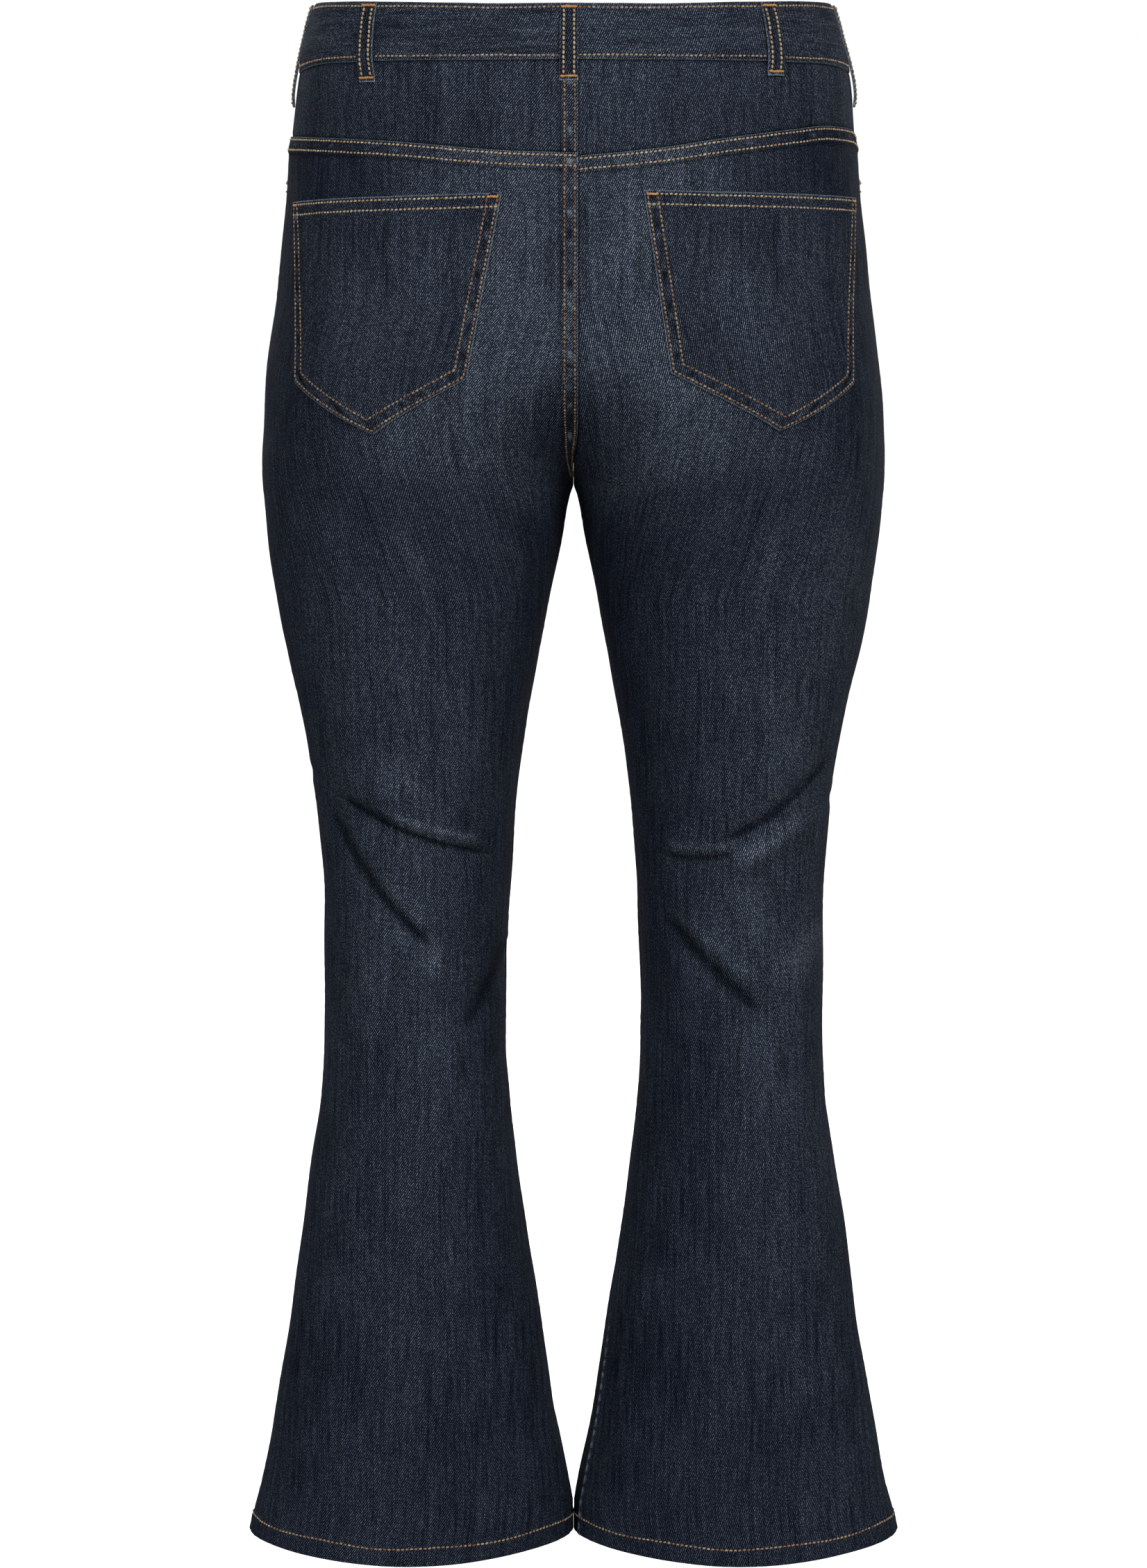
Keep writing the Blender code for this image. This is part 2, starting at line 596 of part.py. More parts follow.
def waist_button():
    """A dished cap, turned, lying on the waistband's left end."""
    quarter = quarter_length(FRONT, -BAND_HEIGHT / 2)
    place = np.array([BUTTON_IN / quarter])
    lift = BAND_STEP + BAND_OUTER
    seat = round_the_waist(place, np.array([BAND_HEIGHT / 2]), np.array([lift]))[0]
    above = round_the_waist(place, np.array([BAND_HEIGHT / 2]), np.array([lift + PROBE]))[0]
    facing = Vector(above - seat).normalized()
    data = bpy.data.meshes.new("waist_button")
    spots = [(ring.radius, 0, ring.height) for ring in BUTTON_PROFILE]
    edges = [(index, index + 1) for index in range(len(spots) - 1)]
    data.from_pydata(spots, edges, [])
    button = bpy.data.objects.new("waist_button", data)
    jeans.objects.link(button)
    turn = button.modifiers.new("turned", "SCREW")
    turn.steps = turn.render_steps = BUTTON_TURNS
    turn.use_merge_vertices = True
    turn.merge_threshold = 0.00001
    turn.use_smooth_shade = True
    button.location = Vector(seat) + facing * BUTTON_CLEAR
    button.rotation_euler = facing.to_track_quat("Z", "Y").to_euler()
    data.materials.append(plain_material("button_metal", COPPER, METAL_ROUGHNESS, 1))


for old in list(bpy.data.objects):
    bpy.data.objects.remove(old, do_unlink=True)
jeans = bpy.data.collections.new("bootcut_jeans")
bpy.context.scene.collection.children.link(jeans)

for side in (LEFT, RIGHT):
    back_panel(side)
    front_panel(side)
    yoke(side)
    back_pocket(side)
    pocket_facing(side)
waistband()
for loop in LOOPS:
    belt_loop(loop)
waist_button()
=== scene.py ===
"""Bootcut jeans in dark indigo denim: the cloth, its folds, seams and stitches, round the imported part.

Every piece of cloth is a thin shell on the same surface as its solid, seen at a finer grain. A place on
the cloth is a side, a face, a share of the way from the side seam (0) to the centre or inner seam (1),
and a height. Lengths are in metres unless a table says mm. The front faces -Y, +X is the wearer's left.
"""

from collections import namedtuple

import bmesh
import bpy
import numpy as np
from mathutils import Matrix, Vector


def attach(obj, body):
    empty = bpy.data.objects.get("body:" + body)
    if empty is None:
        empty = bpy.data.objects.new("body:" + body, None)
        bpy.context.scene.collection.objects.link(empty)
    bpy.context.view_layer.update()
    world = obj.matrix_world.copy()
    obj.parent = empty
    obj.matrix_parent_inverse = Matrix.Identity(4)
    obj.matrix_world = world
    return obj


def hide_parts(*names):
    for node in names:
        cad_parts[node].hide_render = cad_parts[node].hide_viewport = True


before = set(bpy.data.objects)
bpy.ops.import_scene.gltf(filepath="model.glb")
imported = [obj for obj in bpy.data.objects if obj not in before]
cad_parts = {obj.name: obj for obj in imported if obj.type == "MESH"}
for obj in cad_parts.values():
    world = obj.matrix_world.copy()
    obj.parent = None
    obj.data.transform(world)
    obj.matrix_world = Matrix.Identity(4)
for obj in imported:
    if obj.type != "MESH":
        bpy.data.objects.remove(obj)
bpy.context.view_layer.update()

MM = 0.001
FRONT, BACK = -1, 1
LEFT, RIGHT = 1, -1
SIDE_NAME = {LEFT: "left", RIGHT: "right"}
FACE_NAME = {FRONT: "front", BACK: "back"}

SEAM_GAP = 0.08 * MM  # closer than the part's own, so that no light shows through the seams

# The part's own sizes, as in its source
CLOTH = 1.5 * MM
CROTCH = -324 * MM
VALLEY, VALLEY_GROWS = 17 * MM, 90 * MM
HEM_SIDE = -1058 * MM
HEM_DROP = {FRONT: -4 * MM, BACK: 9 * MM}
HEM_EXTRA = 0.6 * MM
HEM_FOLD, HEM_ROW = 13.6 * MM, 12.2 * MM  # the turned-up edge, felt through the cloth, and its stitches
BAND_HEIGHT = 37.5 * MM
BAND_INNER, BAND_OUTER = -1.4 * MM, 1.0 * MM
FRONT_DIP = 16 * MM
SIDE_RISE, RISE_REACH = 5.5 * MM, 0.85
SIDE_SAG, SAG_REACH = 4 * MM, 0.3
BAND_OVER, BAND_UNDER, BAND_STEP, BAND_CLIMB = 4 * MM, 36 * MM, 2.7 * MM, 34 * MM
# the yoke seam's heights in mm, by the share of the way from the side seam to the centre back
YOKE_SEAM = {
    LEFT: [(0, -84.8), (0.3, -87.8), (0.58, -92.4), (0.83, -98.2), (1, -99.8)],
    RIGHT: [
        (0, -84.6), (0.14, -80.6), (0.29, -79.9), (0.42, -83.0), (0.6, -88.9), (0.8, -96.8), (1, -102.1)
    ],
}
SCOOP_WIDTH, SCOOP_DEPTH = 98 * MM, 72 * MM
FACING_LAP, FACING_DEPTH, FACING_CLOTH = 14 * MM, 2.0 * MM, 1.0 * MM
# a back pocket's corners, from the top inner one: distances from the centre seam, and heights
POCKET = {
    LEFT: np.array([(47.5, -126.5), (224, -131), (202.5, -252.3), (141, -286.6), (71, -249.4)]) * MM,
    RIGHT: np.array([(46.4, -124.7), (229, -128), (205, -253.7), (144.4, -284.5), (64.7, -245.6)]) * MM,
}
POCKET_LIFT, POCKET_CLOTH = 1.0 * MM, 1.2 * MM
POCKET_ROWS, POCKET_TOP_ROWS = (2.2 * MM, 8.8 * MM), (2.5 * MM, 9.2 * MM)  # stitches, in from its edges
POCKET_RIDGE = 5.4 * MM
LOOP_WIDTH, LOOP_CLOTH = 12 * MM, 1.6 * MM
LOOP_ROW, LOOP_TACKS = 3.4 * MM, (3.2 * MM, 2.8 * MM)  # from its middle line, and from its two ends
# a belt loop's form: how far down it is, and how far it stands off the waist there
LOOP_DROP = np.array([1.2, 5, 11, 19, 30, 39, 45, 48.5, 52]) * MM
LOOP_LIFT = np.array([1.3, 1.4, 2.7, 3.4, 3.4, 2.7, 1.2, 0.4, 0.4]) * MM
SIDE_LOOP_LIFT = np.array([1.2, 1.2, 1.3, 1.3, 1.4, 1.7, 1.6, 1.0, 0.4]) * MM
# in mm: how far from the centre line a loop is along the waist, how much it leans, and where it ends
Loop = namedtuple("Loop", "name side face centre lean foot")
LOOPS = [
    Loop("centre", LEFT, BACK, 3, 0, 52),
    Loop("back_left", LEFT, BACK, 142, 11.8, 52),
    Loop("back_right", RIGHT, BACK, 137, 5.3, 47.5),
    Loop("side_left", LEFT, BACK, 240.9, 0, 61),
    Loop("side_right", RIGHT, BACK, 240.9, 0, 61),
    Loop("front_left", LEFT, FRONT, 118, 0, 52),
    Loop("front_right", RIGHT, FRONT, 118, 0, 52),
]
BUTTON_IN = 15 * MM
BUTTON_RADIUS, BUTTON_THICK, BUTTON_OFF = 8.5 * MM, 2.2 * MM, 1.9 * MM
# the steps of its face in mm, from the edge inwards: how far in, and how much higher
BUTTON_FACE = [
    (0.35, 0.45), (0.5, 0.28), (0.9, 0.0), (0.45, -0.42), (0.5, -0.1),
    (1.6, 0.16), (0.5, 0.3), (0.6, 0.12), (1.4, 0.06),
]

# Level sections in mm: the leg's outer and inner edges, where its middle is from front to back, how deep
# its front and back are, and how square its corners
Section = namedtuple("Section", "height side inner middle front back square")
SECTIONS = [
    Section(*row)
    for row in (
        (8, 175.5, -175.5, 0, 110, 116, 0.16),
        (0, 178.6, -178.6, 0, 112, 118, 0.17),
        (-15, 182.6, -182.6, 0, 115, 121, 0.18),
        (-38, 188.4, -188.4, 0, 119, 126, 0.20),
        (-55, 191.0, -191.0, 0, 121, 130, 0.21),
        (-72, 192.6, -192.6, 0, 123, 133, 0.22),
        (-86, 194.0, -194.0, 0, 124, 136, 0.23),
        (-96, 196.0, -196.0, 0, 125, 138, 0.24),
        (-111, 197.2, -197.2, 0, 127, 141, 0.25),
        (-130, 198.7, -198.7, 0, 128, 144, 0.27),
        (-168, 202.6, -202.6, 0, 129, 149, 0.28),
        (-188, 204.8, -201.0, 0, 129, 151, 0.28),
        (-207, 207.2, -175.0, 0, 129, 152, 0.28),
        (-226, 209.7, -135.0, 0, 128, 152, 0.27),
        (-246, 212.0, -92.0, 0.8, 127, 151, 0.26),
        (-266, 213.6, -56.0, 1.4, 125, 148, 0.24),
        (-285, 214.6, -29.5, 1.9, 122.2, 143, 0.21),
        (-304, 215.5, -11.5, 2.3, 119.2, 137.2, 0.18),
        (-315, 215.4, -4.2, 2.5, 117.3, 133.9, 0.16),
        (-324, 215.0, 0.0, 2.6, 115.6, 131.1, 0.145),
        (-333, 214.2, 3.0, 2.6, 113.7, 128.2, 0.13),
        (-362, 212.0, 8.2, 2.5, 107.8, 118.7, 0.11),
        (-401, 206.7, 16.5, 1.6, 101, 108, 0.10),
        (-440, 199.5, 23.9, 0, 95, 100, 0.10),
        (-479, 190.6, 30.7, -2, 89, 93, 0.10),
        (-518, 183.2, 37.1, -4, 83, 86, 0.10),
        (-557, 178.4, 41.1, -5, 77, 80, 0.10),
        (-616, 174.7, 45.1, -4, 70, 75, 0.10),
        (-684, 174.1, 47.7, 0, 66, 73, 0.08),
        (-713, 174.3, 47.7, 2, 66, 73, 0.08),
        (-752, 176.6, 45.1, 5, 66, 74, 0.06),
        (-790, 182.0, 40.6, 8, 67, 75, 0.04),
        (-849, 190.6, 32.8, 12, 67, 75, 0.02),
        (-907, 198.4, 23.3, 15, 67, 75, 0.0),
        (-966, 208.6, 14.6, 18, 67, 75, 0.0),
        (-1024, 219.1, 3.6, 20, 67, 75, 0.0),
        (-1042, 224.0, 0.9, 21, 67, 76, 0.0),
        (-1058, 227.4, 0.9, 21, 68, 77, 0.0),
        (-1072, 228.8, 0.9, 21, 68, 78, 0.0),
    )
]

# Folds and creases in mm, seen from the front or back: an arc's three points as x outwards and height,
# and then its width and depth
FOLDS = {
    (LEFT, BACK): [
        (172, -531, 110, -566, 46, -580, 9, -4.5),
        (165, -513, 108, -547, 55, -560, 13, 3.0),
        (166, -566, 124, -620, 92, -653, 10, -3.2),
        (152, -556, 114, -604, 84, -640, 12, 2.6),
        (46, -642, 57, -668, 76, -698, 9, -2.6),
    ],
    (RIGHT, BACK): [
        (181, -512, 141, -553, 96, -570, 9, -4.6),
        (172, -536, 136, -568, 98, -585, 11, 2.8),
        (56, -580, 86, -584, 114, -580, 8, -3.4),
        (56, -565, 86, -568, 114, -564, 10, 2.6),
        (60, -617, 97, -658, 132, -685, 9, -3.2),
        (72, -606, 108, -645, 138, -669, 12, 2.6),
        (123, -577, 141, -604, 138, -634, 12, -2.0),
    ],
    (LEFT, FRONT): [
        (168, -548, 118, -578, 66, -586, 12, -3.2),
        (164, -618, 130, -646, 88, -652, 12, -2.6),
        (52, -632, 76, -664, 112, -690, 12, -2.2),
        (16, -292, 56, -270, 112, -238, 12, -2.6),
        (26, -338, 74, -330, 132, -306, 13, -2.4),
    ],
    (RIGHT, FRONT): [
        (172, -532, 126, -566, 78, -580, 12, -3.4),
        (56, -612, 92, -644, 134, -650, 12, -2.6),
        (16, -288, 62, -272, 118, -252, 12, -2.6),
        (26, -344, 78, -328, 128, -314, 13, -2.2),
    ],
}
CREASES = {
    (LEFT, BACK): [
        (174, -528, 108, -563, 50, -578, 2.4, -2.6),
        (140, -543, 100, -558, 58, -570, 3.0, 2.2),
        (92, -570, 70, -579, 52, -585, 3.0, 0.9),
        (171, -535, 134, -602, 88, -646, 4.0, -2.3),
        (134, -588, 114, -616, 92, -634, 5.0, 1.2),
        (114, -666, 106, -656, 96, -648, 4.5, 0.7),
        (47, -640, 58, -666, 80, -706, 4.8, -2.0),
        (144, -486, 126, -512, 106, -534, 7, -1.6),
        (128, -490, 116, -508, 100, -524, 6, 1.1),
        (186, -520, 170, -527, 148, -531, 5, -1.2),
        (14, -306, 38, -300, 72, -290, 7, -0.7),
        (12, -318, 44, -322, 84, -318, 8, -0.6),
        (22, -344, 50, -352, 92, -352, 10, -0.6),
        (196, -420, 176, -446, 150, -462, 12, -0.6),
    ],
    (RIGHT, BACK): [
        (182, -504, 140, -547, 94, -568, 3.2, -2.3),
        (172, -524, 138, -557, 104, -574, 4.0, 1.7),
        (56, -575, 86, -579, 116, -574, 2.6, -1.8),
        (58, -568, 88, -572, 114, -567, 3.2, 1.3),
        (58, -612, 96, -656, 136, -690, 4.6, -2.5),
        (72, -616, 104, -648, 134, -670, 5.0, 1.5),
        (184, -540, 170, -545, 156, -547, 5, -1.2),
        (124, -580, 139, -604, 138, -630, 4.5, -1.2),
        (150, -640, 142, -660, 128, -672, 6, 1.2),
        (14, -304, 42, -298, 78, -284, 7, -0.7),
        (12, -320, 40, -322, 78, -316, 8, -0.5),
        (22, -342, 54, -346, 98, -340, 10, -0.6),
        (198, -404, 176, -436, 148, -456, 12, -0.6),
    ],
    (LEFT, FRONT): [
        (160, -550, 118, -577, 78, -585, 4.5, -2.1),
        (158, -622, 128, -645, 96, -651, 5, -1.6),
        (60, -640, 80, -666, 104, -684, 5, -1.6),
        (18, -298, 52, -278, 100, -250, 5, -1.8),
        (14, -318, 50, -306, 96, -282, 8, -1.9),
        (24, -362, 64, -364, 110, -352, 10, -1.8),
    ],
    (RIGHT, FRONT): [
        (164, -540, 126, -565, 88, -577, 4.5, -2.2),
        (64, -620, 92, -643, 124, -649, 5, -1.8),
        (158, -598, 136, -612, 112, -616, 7, -1.9),
        (18, -294, 58, -279, 104, -262, 5, -1.8),
        (14, -316, 48, -302, 92, -284, 8, -1.8),
        (24, -368, 66, -366, 106, -356, 10, -1.6),
    ],
}
# Where folds have rubbed the dye pale: such arcs, with how much paler in place of a depth
RUBS = {
    (LEFT, BACK): [
        (128, -548, 98, -561, 62, -567, 5, 1.3),
        (128, -500, 116, -518, 102, -540, 7, 0.4),
        (104, -628, 96, -645, 98, -664, 5, 0.7),
        (138, -585, 116, -610, 96, -628, 7, 0.3),
    ],
    (RIGHT, BACK): [
        (158, -546, 134, -568, 104, -582, 6, 0.9),
        (58, -572, 86, -574, 110, -570, 5, 0.6),
        (66, -612, 100, -646, 128, -668, 7, 0.5),
        (168, -622, 160, -646, 138, -668, 10, 0.6),
        (104, -594, 124, -616, 116, -648, 9, 0.3),
    ],
    (LEFT, FRONT): [
        (150, -546, 118, -566, 80, -574, 6, 0.6),
    ],
    (RIGHT, FRONT): [
        (154, -536, 126, -554, 90, -566, 6, 0.6),
    ],
}
SHARP = 5  # mm: a narrower crease is a sharp one
FOLD_POINTS = 13
FOLD_REACH = 3.2  # how far a fold lifts the cloth, in its own widths
FOLD_FADE, SHARP_FADE = 3.2, 4.8  # how swiftly a fold grows from its ends

# The grain of the cloth grids
FINE = 2.9 * MM
KNEE_CROWD = 1.2  # behind the knees the rows are this much denser again, for the sharp creases
TWILL_PITCH = 1.32 * MM
PANEL_TOP = -0.1  # about where a leg panel starts
UPPER, LOWER = -0.20, -0.40  # the yarns run level with the centre seam above, and with the leg below
TWILL_ANGLE = {LEFT: 56, RIGHT: 64}  # degrees from level
# grid lines in from a seam, below a panel's top edge and above the hem
SEAM_STEPS = np.array([0, 0.35, 1.0, 2.0, 3.2, 4.8, 6.6, 8.0, 9.1, 10.3, 11.5, 13.2]) * MM
TOP_STEPS = np.array([0, 0.35, 1.0, 2.0, 3.4, 5.2, 7.2, 9.1, 10.3, 11.5, 13.4]) * MM
HEM_STEPS = np.array([0, 0.5, 1.4, 3.2, 5.5, 8.0, 10.4, 11.6, 12.4, 13.2, 14.1, 15.4, 17.5]) * MM

# Felled seams and laps
LAP = 3.0 * MM  # the left back panel and yoke fold over the right ones by this much
LAP_LIFT = 0.9 * MM
RIDGE = 10.4 * MM  # how wide a felled seam's double cloth is
ROWS = (2.1 * MM, 9.0 * MM)  # its two rows of stitches, in from the folded edge
TURN_START, TURN_REACH = 0.87, 0.08  # how far down the right leg's inner seam turns into view
TURN_WIDTH = 19.5 * MM
HEM_RUB = -0.86  # below here the inner seams are rubbed more
FLY_LAP, FRONT_LAP = 4.0 * MM, 2.4 * MM  # on the fly, and below it
FLY_END, FLY_BEND = -196 * MM, -154 * MM
FLY_ROWS = (35 * MM, 41.5 * MM)  # the fly's curved rows, in from the left front's edge
FLY_TACKS = [((5, 11), (-196, -197)), ((36, 38.5), (-158, -151))]  # mm in from that edge, and heights
MOUTH_REACH = 30 * MM  # how far from the pocket's mouth its seam is worked out
BAND_ROWS = (3.0 * MM, BAND_HEIGHT - 2.7 * MM)  # the waistband's rows of stitches, down from its top

# Threads
PITCH = 3.1 * MM
STITCH_LENGTH, THREAD_RADIUS = 2.9 * MM, 0.86 * MM
SINK = 0.2 * MM
# how pale a row's thread looks, from 0 to 1
BAND_SHADE, YOKE_SHADE, CENTRE_SHADE, HEM_SHADE = 0.42, 0.6, 0.14, 0.4
POCKET_TOP_SHADE, POCKET_SIDE_SHADE, LOOP_SHADE, FRONT_SHADE = 0.6, 0.26, 0.7, 0.45


def table_column(column, height):
    """A column of the sections at any height: a smooth curve through it that doesn't swing past it."""
    rows = sorted(SECTIONS, key=lambda row: row.height)
    known = np.array([row.height for row in rows]) * MM
    value = np.array([getattr(row, column) for row in rows], float)
    return smooth_curve(known, value, height)


def smooth_curve(known, value, place):
    """A curve through known values whose slope at each is the two next slopes' harmonic mean, or level."""
    step = np.diff(known)
    slope = np.diff(value) / step
    tangent = np.zeros(len(known))
    product = slope[:-1] * slope[1:]
    total = np.where(product > 0, slope[:-1] + slope[1:], 1)
    tangent[1:-1] = np.where(product > 0, 2 * product / total, 0)
    tangent[0], tangent[-1] = slope[0], slope[-1]
    at = np.clip(np.searchsorted(known, place) - 1, 0, len(step) - 1)
    part = (place - known[at]) / step[at]
    low, high = value[at], value[at + 1]
    swing = tangent[at] * (1 - part) - tangent[at + 1] * part
    return low + (high - low) * part * part * (3 - 2 * part) + step[at] * part * (1 - part) * swing


def smooth(value):
    value = np.clip(value, 0, 1)
    return value * value * (3 - 2 * value)


def past(value, start, reach):
    """0 up to a start, rising softly to 1 over a reach."""
    return smooth((value - start) / reach)


def until(value, end, reach):
    """1 up to an end, falling softly to 0 over a reach."""
    return 1 - past(value, end, reach)


def bump(value, centre, width):
    """A soft ridge one unit high."""
    return np.exp(-(((value - centre) / width) ** 2))


def falling(distance, reach):
    """1 at an edge, dying away from it over about so many mm."""
    return np.exp(-np.clip(distance, 0, None) / (reach * MM))


def run_along(points):
    """How far along a path each of its points is."""
    return np.concatenate([[0], np.cumsum(np.linalg.norm(np.diff(points, axis=0), axis=-1))])


def nearest(line, spots):
    """How far spots are from a line through points, and how many of its pieces along it."""
    best, where = np.full(len(spots), np.inf), np.zeros(len(spots))
    for index, (a, b) in enumerate(zip(line[:-1], line[1:])):
        part = np.clip(((spots - a) @ (b - a)) / ((b - a) @ (b - a)), 0, 1)
        away = np.linalg.norm(spots - a - part[:, None] * (b - a), axis=-1)
        closer = away < best
        best = np.where(closer, away, best)
        where = np.where(closer, index + part, where)
    return best, where


# ---- The surface that all the cloth lies on


def half_section(height):
    """Half a section's width, its middle, its side, its last angle and how soft its valley is."""
    side = table_column("side", height) * MM
    inner = table_column("inner", height) * MM
    half, centre = (side - inner) / 2, (side + inner) / 2
    last = np.arccos(np.clip(-centre / half, -1, 1))
    return half, centre, side, last, VALLEY * past(height, CROTCH, VALLEY_GROWS)


def surface(face, angle, height):
    """Points of the left half, from angle 0 at its side to half a turn at a leg's inner edge."""
    half, centre, side, _, soft = half_section(height)
    square = table_column("square", height)
    middle = table_column("middle", height) * MM
    depth = table_column(FACE_NAME[face], height) * MM
    x = centre + half * np.cos(angle)
    spread = np.sqrt(x**2 + soft**2 * np.clip(1 - (x / side) ** 2, 0, 1))
    across = np.clip((spread - centre) / half, -1, 1)
    bridge = np.where(soft > 0, np.sqrt(1 - across**2) - np.abs(np.sin(angle)), 0)
    bulge = np.sin(angle) * (1 + square * np.cos(angle) ** 2) + bridge
    return np.stack([x, middle + face * depth * bulge, height + 0 * x], axis=-1)


def normal(face, angle, height):
    step, turn = 0.5 * MM, 0.005
    round_it = surface(face, angle + turn, height) - surface(face, angle - turn, height)
    down = surface(face, angle, height - step) - surface(face, angle, height + step)
    out = face * np.cross(down, round_it)
    return out / np.linalg.norm(out, axis=-1, keepdims=True)


LEVELS = np.arange(-1084, 12) * MM
SHARES = np.linspace(0, 1, 161)


def unrolled(face):
    """The cloth's length at every level, and the angles of even shares of it."""
    turn = half_section(LEVELS)[3][:, None] * SHARES
    run = surface(face, turn, np.repeat(LEVELS[:, None], len(SHARES), axis=1))
    run = np.cumsum(np.linalg.norm(np.diff(run, axis=1), axis=-1), axis=1)
    run = np.concatenate([np.zeros((len(LEVELS), 1)), run], axis=1)
    angles = np.array([np.interp(SHARES * r[-1], r, t) for r, t in zip(run, turn)])
    return run[:, -1], angles


UNROLLED = {face: unrolled(face) for face in (FRONT, BACK)}


def whole_length(face, height):
    """The cloth's length from the side seam to the centre or inner seam."""
    return np.interp(height, LEVELS, UNROLLED[face][0])


def angle_at(face, share, height):
    row = np.clip((height - LEVELS[0]) / MM, 0, len(LEVELS) - 1.001)
    column = np.clip(share, 0, 1) * (len(SHARES) - 1.001)
    r, c = row.astype(int), column.astype(int)
    y, x = row - r, column - c
    table = UNROLLED[face][1]
    upper = table[r, c] * (1 - x) + table[r, c + 1] * x
    lower = table[r + 1, c] * (1 - x) + table[r + 1, c + 1] * x
    return upper * (1 - y) + lower * y


def relief(points, folds):
    """How far some folds lift the cloth at points of either half."""
    lift = np.zeros(points.shape[:-1])
    place = np.stack([np.abs(points[..., 0]), points[..., 2]], axis=-1)
    part = np.linspace(0, 1, FOLD_POINTS)[:, None]
    for *arc, width, depth in folds:
        start, bend, end = np.reshape(arc, (3, 2)) * MM
        pull = 2 * bend - (start + end) / 2
        line = (1 - part) ** 2 * start + 2 * part * (1 - part) * pull + part**2 * end
        reach = FOLD_REACH * width * MM
        low, high = line.min(axis=0) - reach, line.max(axis=0) + reach
        near = ((place > low) & (place < high)).all(axis=-1)
        away, run = nearest(line, place[near])
        run = run / (FOLD_POINTS - 1)
        swift = FOLD_FADE if width > SHARP else SHARP_FADE
        fade = smooth(swift * run) * smooth(swift * (1 - run))
        lift[near] += depth * MM * fade * bump(away, 0, width * MM)
    return lift


def ripples(x, z):
    """Slow unevenness of hung cloth, a few tenths of a millimetre."""
    return MM * (
        0.30 * np.sin(61 * x + 23 * z + 1.3)
        + 0.26 * np.sin(-38 * x + 47 * z + 0.4)
        + 0.18 * np.sin(109 * x - 71 * z + 2.1)
        + 0.12 * np.sin(173 * x + 96 * z + 4.0)
    )


def on_cloth(side, face, share, height, lift, gap=True):
    """Points and outward directions. A share past 1 is beyond the centre line, on the other half."""
    share, height, lift = np.broadcast_arrays(share, height, lift)
    over = share > 1
    inside = np.where(over, 2 - share, share)
    if gap:
        edge = SEAM_GAP / 2 / whole_length(face, height)
        inside = np.where(over, inside, np.clip(inside, edge, 1 - edge))
    angle = angle_at(face, inside, height)
    base, out = surface(face, angle, height), normal(face, angle, height)
    raised = relief(base, FOLDS[side, face] + CREASES[side, face])
    if over.any():
        raised = np.where(over, relief(base, FOLDS[-side, face] + CREASES[-side, face]), raised)
    mirror = np.where(over, -side, side)
    raised = raised + ripples(mirror * base[..., 0], base[..., 2] + 0.3 * face)
    points = base + out * (lift + raised)[..., None]
    points[..., 0] = np.maximum(points[..., 0], np.where(over, 0, SEAM_GAP / 2)) * mirror
    out[..., 0] *= mirror
    return points, out


# ---- Seam and edge lines


def centre_dip(face, share):
    return 0 * share if face == BACK else FRONT_DIP * smooth(share)


def band_top(face, share):
    return SIDE_RISE * (1 - smooth(share / RISE_REACH)) - centre_dip(face, share)


def band_bottom(face, share):
    return -BAND_HEIGHT - SIDE_SAG * (1 - smooth(share / SAG_REACH)) - centre_dip(face, share)


def waist_height(face, share, drop):
    """The height of a place so far down the waistband as it is at the back, or on below it."""
    top, bottom = band_top(face, share), band_bottom(face, share)
    return top + (bottom - top) * np.minimum(drop / BAND_HEIGHT, 1) - np.maximum(drop - BAND_HEIGHT, 0)


def yoke_seam(side, share):
    known, heights = np.array(YOKE_SEAM[side], float).T
    return smooth_curve(known, heights, np.clip(share, 0, 1)) * MM


def hem_height(face, share):
    return HEM_SIDE - HEM_DROP[face] * np.sin(np.pi * np.clip(share, 0, 1)) ** 2


def scoop_cut(share):
    """How far the pocket's mouth cuts in below the waistband."""
    width = SCOOP_WIDTH / whole_length(FRONT, -BAND_HEIGHT)
    return SCOOP_DEPTH * np.sqrt(np.clip(1 - (share / width) ** 2, 0, 1))


def lap_at(side, face, height):
    """How far a half's cloth laps over the centre line: only the left one's does."""
    if side == RIGHT:
        return 0 * height
    above_crotch = past(height, CROTCH + 14 * MM, 26 * MM)
    if face == BACK:
        return LAP * above_crotch
    return np.maximum(FLY_LAP * past(height, FLY_END, 12 * MM), FRONT_LAP * above_crotch)


def inner_distance(side, face, share, height):
    """How far in a place is from the half's inner edge, lap and all."""
    return (1 - share) * whole_length(face, height) + lap_at(side, face, height)


def share_in(side, face, distance, height):
    """The share of a place that is so far in from the half's inner edge."""
    return 1 - (distance - lap_at(side, face, height)) / whole_length(face, height)


# ---- Meshes


def placed(name, data):
    thing = bpy.data.objects.new(name, data)
    bpy.context.scene.collection.objects.link(thing)
    return thing


def set_values(data, name, values):
    """A value for each of a mesh's points, for its material to read."""
    kept = data.attributes.new(name, "FLOAT", "POINT")
    kept.data.foreach_set("value", np.ravel(values).astype(np.float32))


